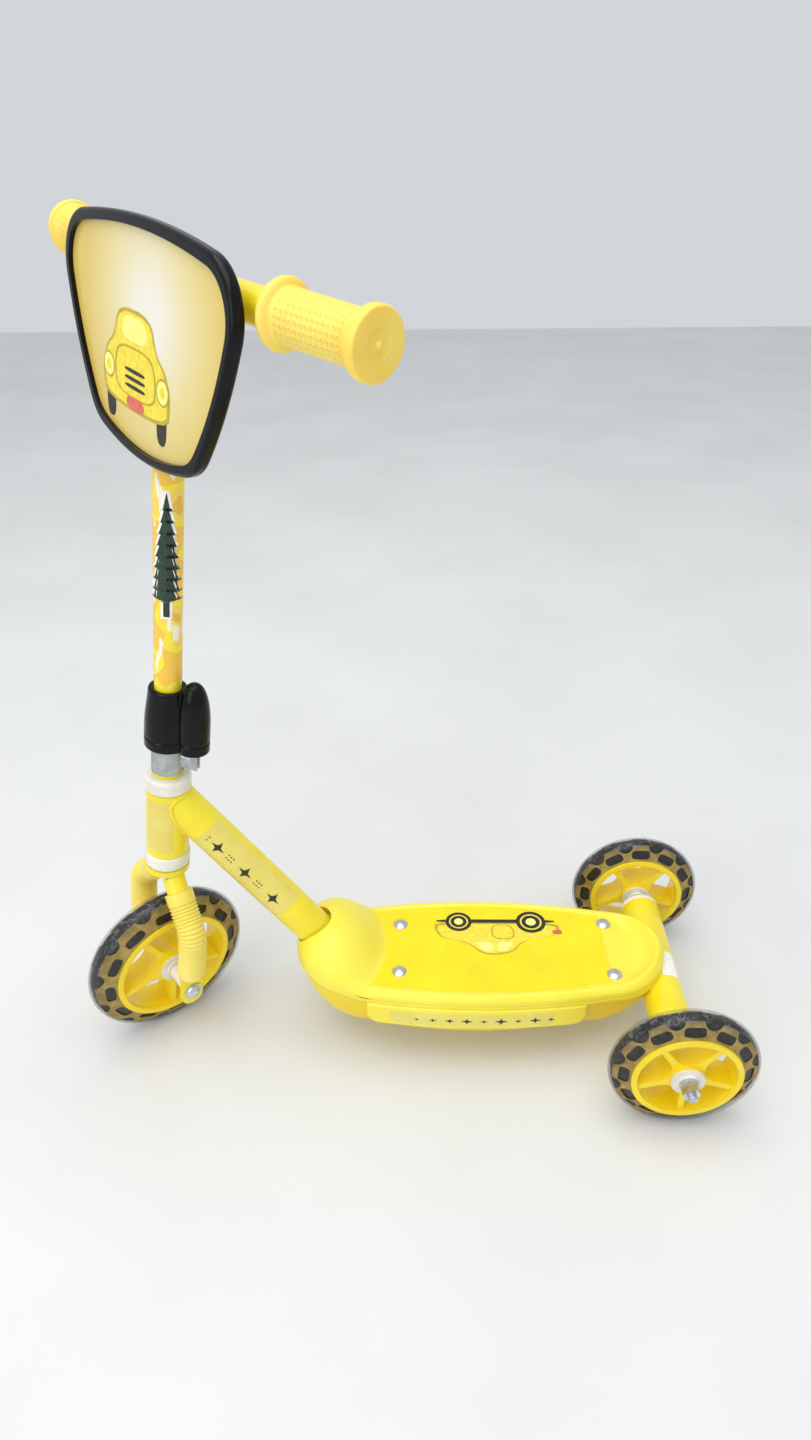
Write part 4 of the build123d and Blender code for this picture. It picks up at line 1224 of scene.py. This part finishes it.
def tan_polypropylene():
    """The ring seen through the tyre: dull tan with a little dirt."""
    made, tree, surface = material("tan_polypropylene", Roughness=0.5, IOR=1.49)
    place = mottle(tree, surface, "#B79C52", "#8F7738", 9)
    grain(tree, surface, place, 0.8, 0.04, 0.6)
    return made


def painted_shade_sheet():
    """Painted shade: a dark sheet standing for the shaded depth of the tyre between and beyond the ring's
    slots.
    """
    made, tree, surface = material("painted_shade_polyurethane", Roughness=0.3, IOR=1.5)
    place = mottle(tree, surface, "#26221C", "#15130F", 10)
    grain(tree, surface, place, 1.0, 0.03, 0.4)
    return made


def clear_urethane(rim_radius, radius):
    """Cast polyurethane: clear by the rim, smoky and scratched grey towards the tread."""
    made, tree, surface = material(f"clear_polyurethane_{radius:.0f}", Roughness=0.2, IOR=1.5)
    place = put(tree, "TexCoord")
    flatten = put(tree, "VectorMath", {"operation": "MULTIPLY"}, {0: place.outputs["Object"]})
    flatten.inputs[1].default_value = (1, 1, 0)
    distance = put(tree, "VectorMath", {"operation": "LENGTH"}, {0: flatten.outputs[0]})
    share = put(tree, "MapRange", {1: rim_radius * MM, 2: radius * MM}, {0: distance.outputs["Value"]})
    scuffed = {"Scale": 1 / (7 * MM), "Detail": 8.0, "Distortion": 2.5}
    scratches = put(tree, "TexNoise", scuffed, {"Vector": place.outputs["Object"]})
    marked = put(tree, "Math", {"operation": "MULTIPLY_ADD", 1: 0.36, 2: -0.18}, {0: scratches.outputs[0]})
    smoky = put(tree, "Math", {"operation": "ADD"}, {0: share.outputs[0], 1: marked.outputs[0]})
    cover_ramp = put(tree, "ValToRGB", links={0: smoky.outputs[0]})
    stops = cover_ramp.color_ramp.elements
    stops[0].position, stops[0].color = 0.45, (0.05, 0.05, 0.05, 1)
    stops[1].position, stops[1].color = 1.0, (0.5, 0.5, 0.5, 1)
    middle = stops.new(0.8)
    middle.color = (0.16, 0.16, 0.16, 1)
    tree.links.new(cover_ramp.outputs[0], surface.inputs["Alpha"])
    tone = put(tree, "ValToRGB", links={0: scratches.outputs[0]})
    tone.color_ramp.elements[0].color = srgb("#3F3E40")
    tone.color_ramp.elements[0].position = 0.5
    tone.color_ramp.elements[1].color = srgb("#A9A9AC")
    tone.color_ramp.elements[1].position = 0.8
    tree.links.new(tone.outputs[0], surface.inputs["Base Color"])
    grain(tree, surface, place, 1.4, 0.05, 0.4)
    return made


def half_round(radius, width, steps=22):
    """Half the section of a tyre: straight side, then a half-round tread, from side to side."""
    crown = width / 2
    turns = [-math.pi / 2 + math.pi * i / steps for i in range(steps + 1)]
    return [(radius - crown + crown * math.cos(t), crown * math.sin(t)) for t in turns]


SLOTS = 12
SLOT_HALF, SLOT_INNER, SLOT_OUTER = 9.8, 1.0, 9.6
LOBE_HALF, LOBE_DEPTH = 8.2, 6.4


def ring_openings(rim, reach, width):
    """Cutters for the ring: rounded slots by the rim, and round bites from its outer edge."""
    cutters = []
    middle, half_depth = rim + (SLOT_INNER + SLOT_OUTER) / 2, (SLOT_OUTER - SLOT_INNER) / 2
    bite_radius = (LOBE_HALF**2 + LOBE_DEPTH**2) / (2 * LOBE_DEPTH)
    for number in range(SLOTS):
        slot, bite = [], []
        for step in range(24):
            way = math.tau * step / 24
            along = math.copysign(abs(math.cos(way)) ** 0.45, math.cos(way)) * SLOT_HALF * (rim / 55) ** 0.5
            deep = math.copysign(abs(math.sin(way)) ** 0.6, math.sin(way)) * half_depth
            slot.append((middle + deep, along))
            deep = reach - LOBE_DEPTH + bite_radius * (1 - math.cos(way))
            bite.append((deep, bite_radius * math.sin(way)))
        for outline, turn in ((slot, number), (bite, number + 0.5)):
            cos, sin = math.cos(math.tau * turn / SLOTS), math.sin(math.tau * turn / SLOTS)
            flat = [(x * cos - y * sin, x * sin + y * cos) for x, y in outline]
            cutters.append([[(x, y, z) for x, y in flat] for z in (-width, width)])
    return cutters


nylon, tan, shade = moulded_nylon(), tan_polypropylene(), painted_shade_sheet()
RING_REACH = 0.84
TYRE_COVER = 1.3
SEAT_GAP, RING_GAP = 0.2, 0.1
AROUND, RING_AROUND = 120, 144
REAR_SIZES = (62.5, 27.0, 45.8)
WHEEL_SIZES = {"front": (75.0, 30.0, 55.0), "rear_left": REAR_SIZES, "rear_right": REAR_SIZES}
skins = {radius: clear_urethane(rim, radius) for radius, _, rim in WHEEL_SIZES.values()}
for wheel, (radius, width, rim) in WHEEL_SIZES.items():
    body = wheel + "_wheel"
    spin = joints[wheel + "_wheel_spin"]
    way = Vector(spin["axis"])
    place = axes(Vector(spin["pos_m"]), Vector((0, 0, 1)), way)
    paint([wheel + "_wheel_core"], nylon)
    tread = half_round(radius, width)
    skin_profile = [(rim + SEAT_GAP, -width / 2), *tread, (rim + SEAT_GAP, width / 2)]
    piece(
        wheel + "_clear_tyre",
        [(turned(skin_profile, AROUND), 0)],
        place,
        [skins[radius]],
        body,
        [wheel + "_tyre"],
        closed=True,
        sharp=50,
    )
    reach = rim + RING_REACH * (radius - rim)
    crown = width / 2
    tip = math.sqrt((crown - TYRE_COVER) ** 2 - (reach - radius + crown) ** 2)
    foot = crown - TYRE_COVER
    section = [(rim + RING_GAP, -foot), (reach, -tip), (reach, tip), (rim + RING_GAP, foot)]
    blank = turned(section, RING_AROUND)
    ring = piece(
        wheel + "_slotted_ring",
        [(blank, 0)],
        place,
        [tan],
        body,
        [wheel + "_tyre_ring"],
        closed=True,
        sharp=20,
    )
    carved(ring, ring_openings(rim, reach, width), place)
    # A dark sheet of painted shade inside the tyre, showing through the ring's slots and bites.
    half = [(rim + SEAT_GAP, 1.4 - foot), (reach, 1.2 - tip), (radius - 2.4, -1.5)]
    shade_filler = turned(half + [(radius - 2.0, 0)] + [(x, -z) for x, z in half[::-1]], AROUND)
    piece(
        wheel + "_tyre_painted_shade",
        [(shade_filler, 0)],
        place,
        [shade],
        body,
        closed=True,
        sharp=20,
    )
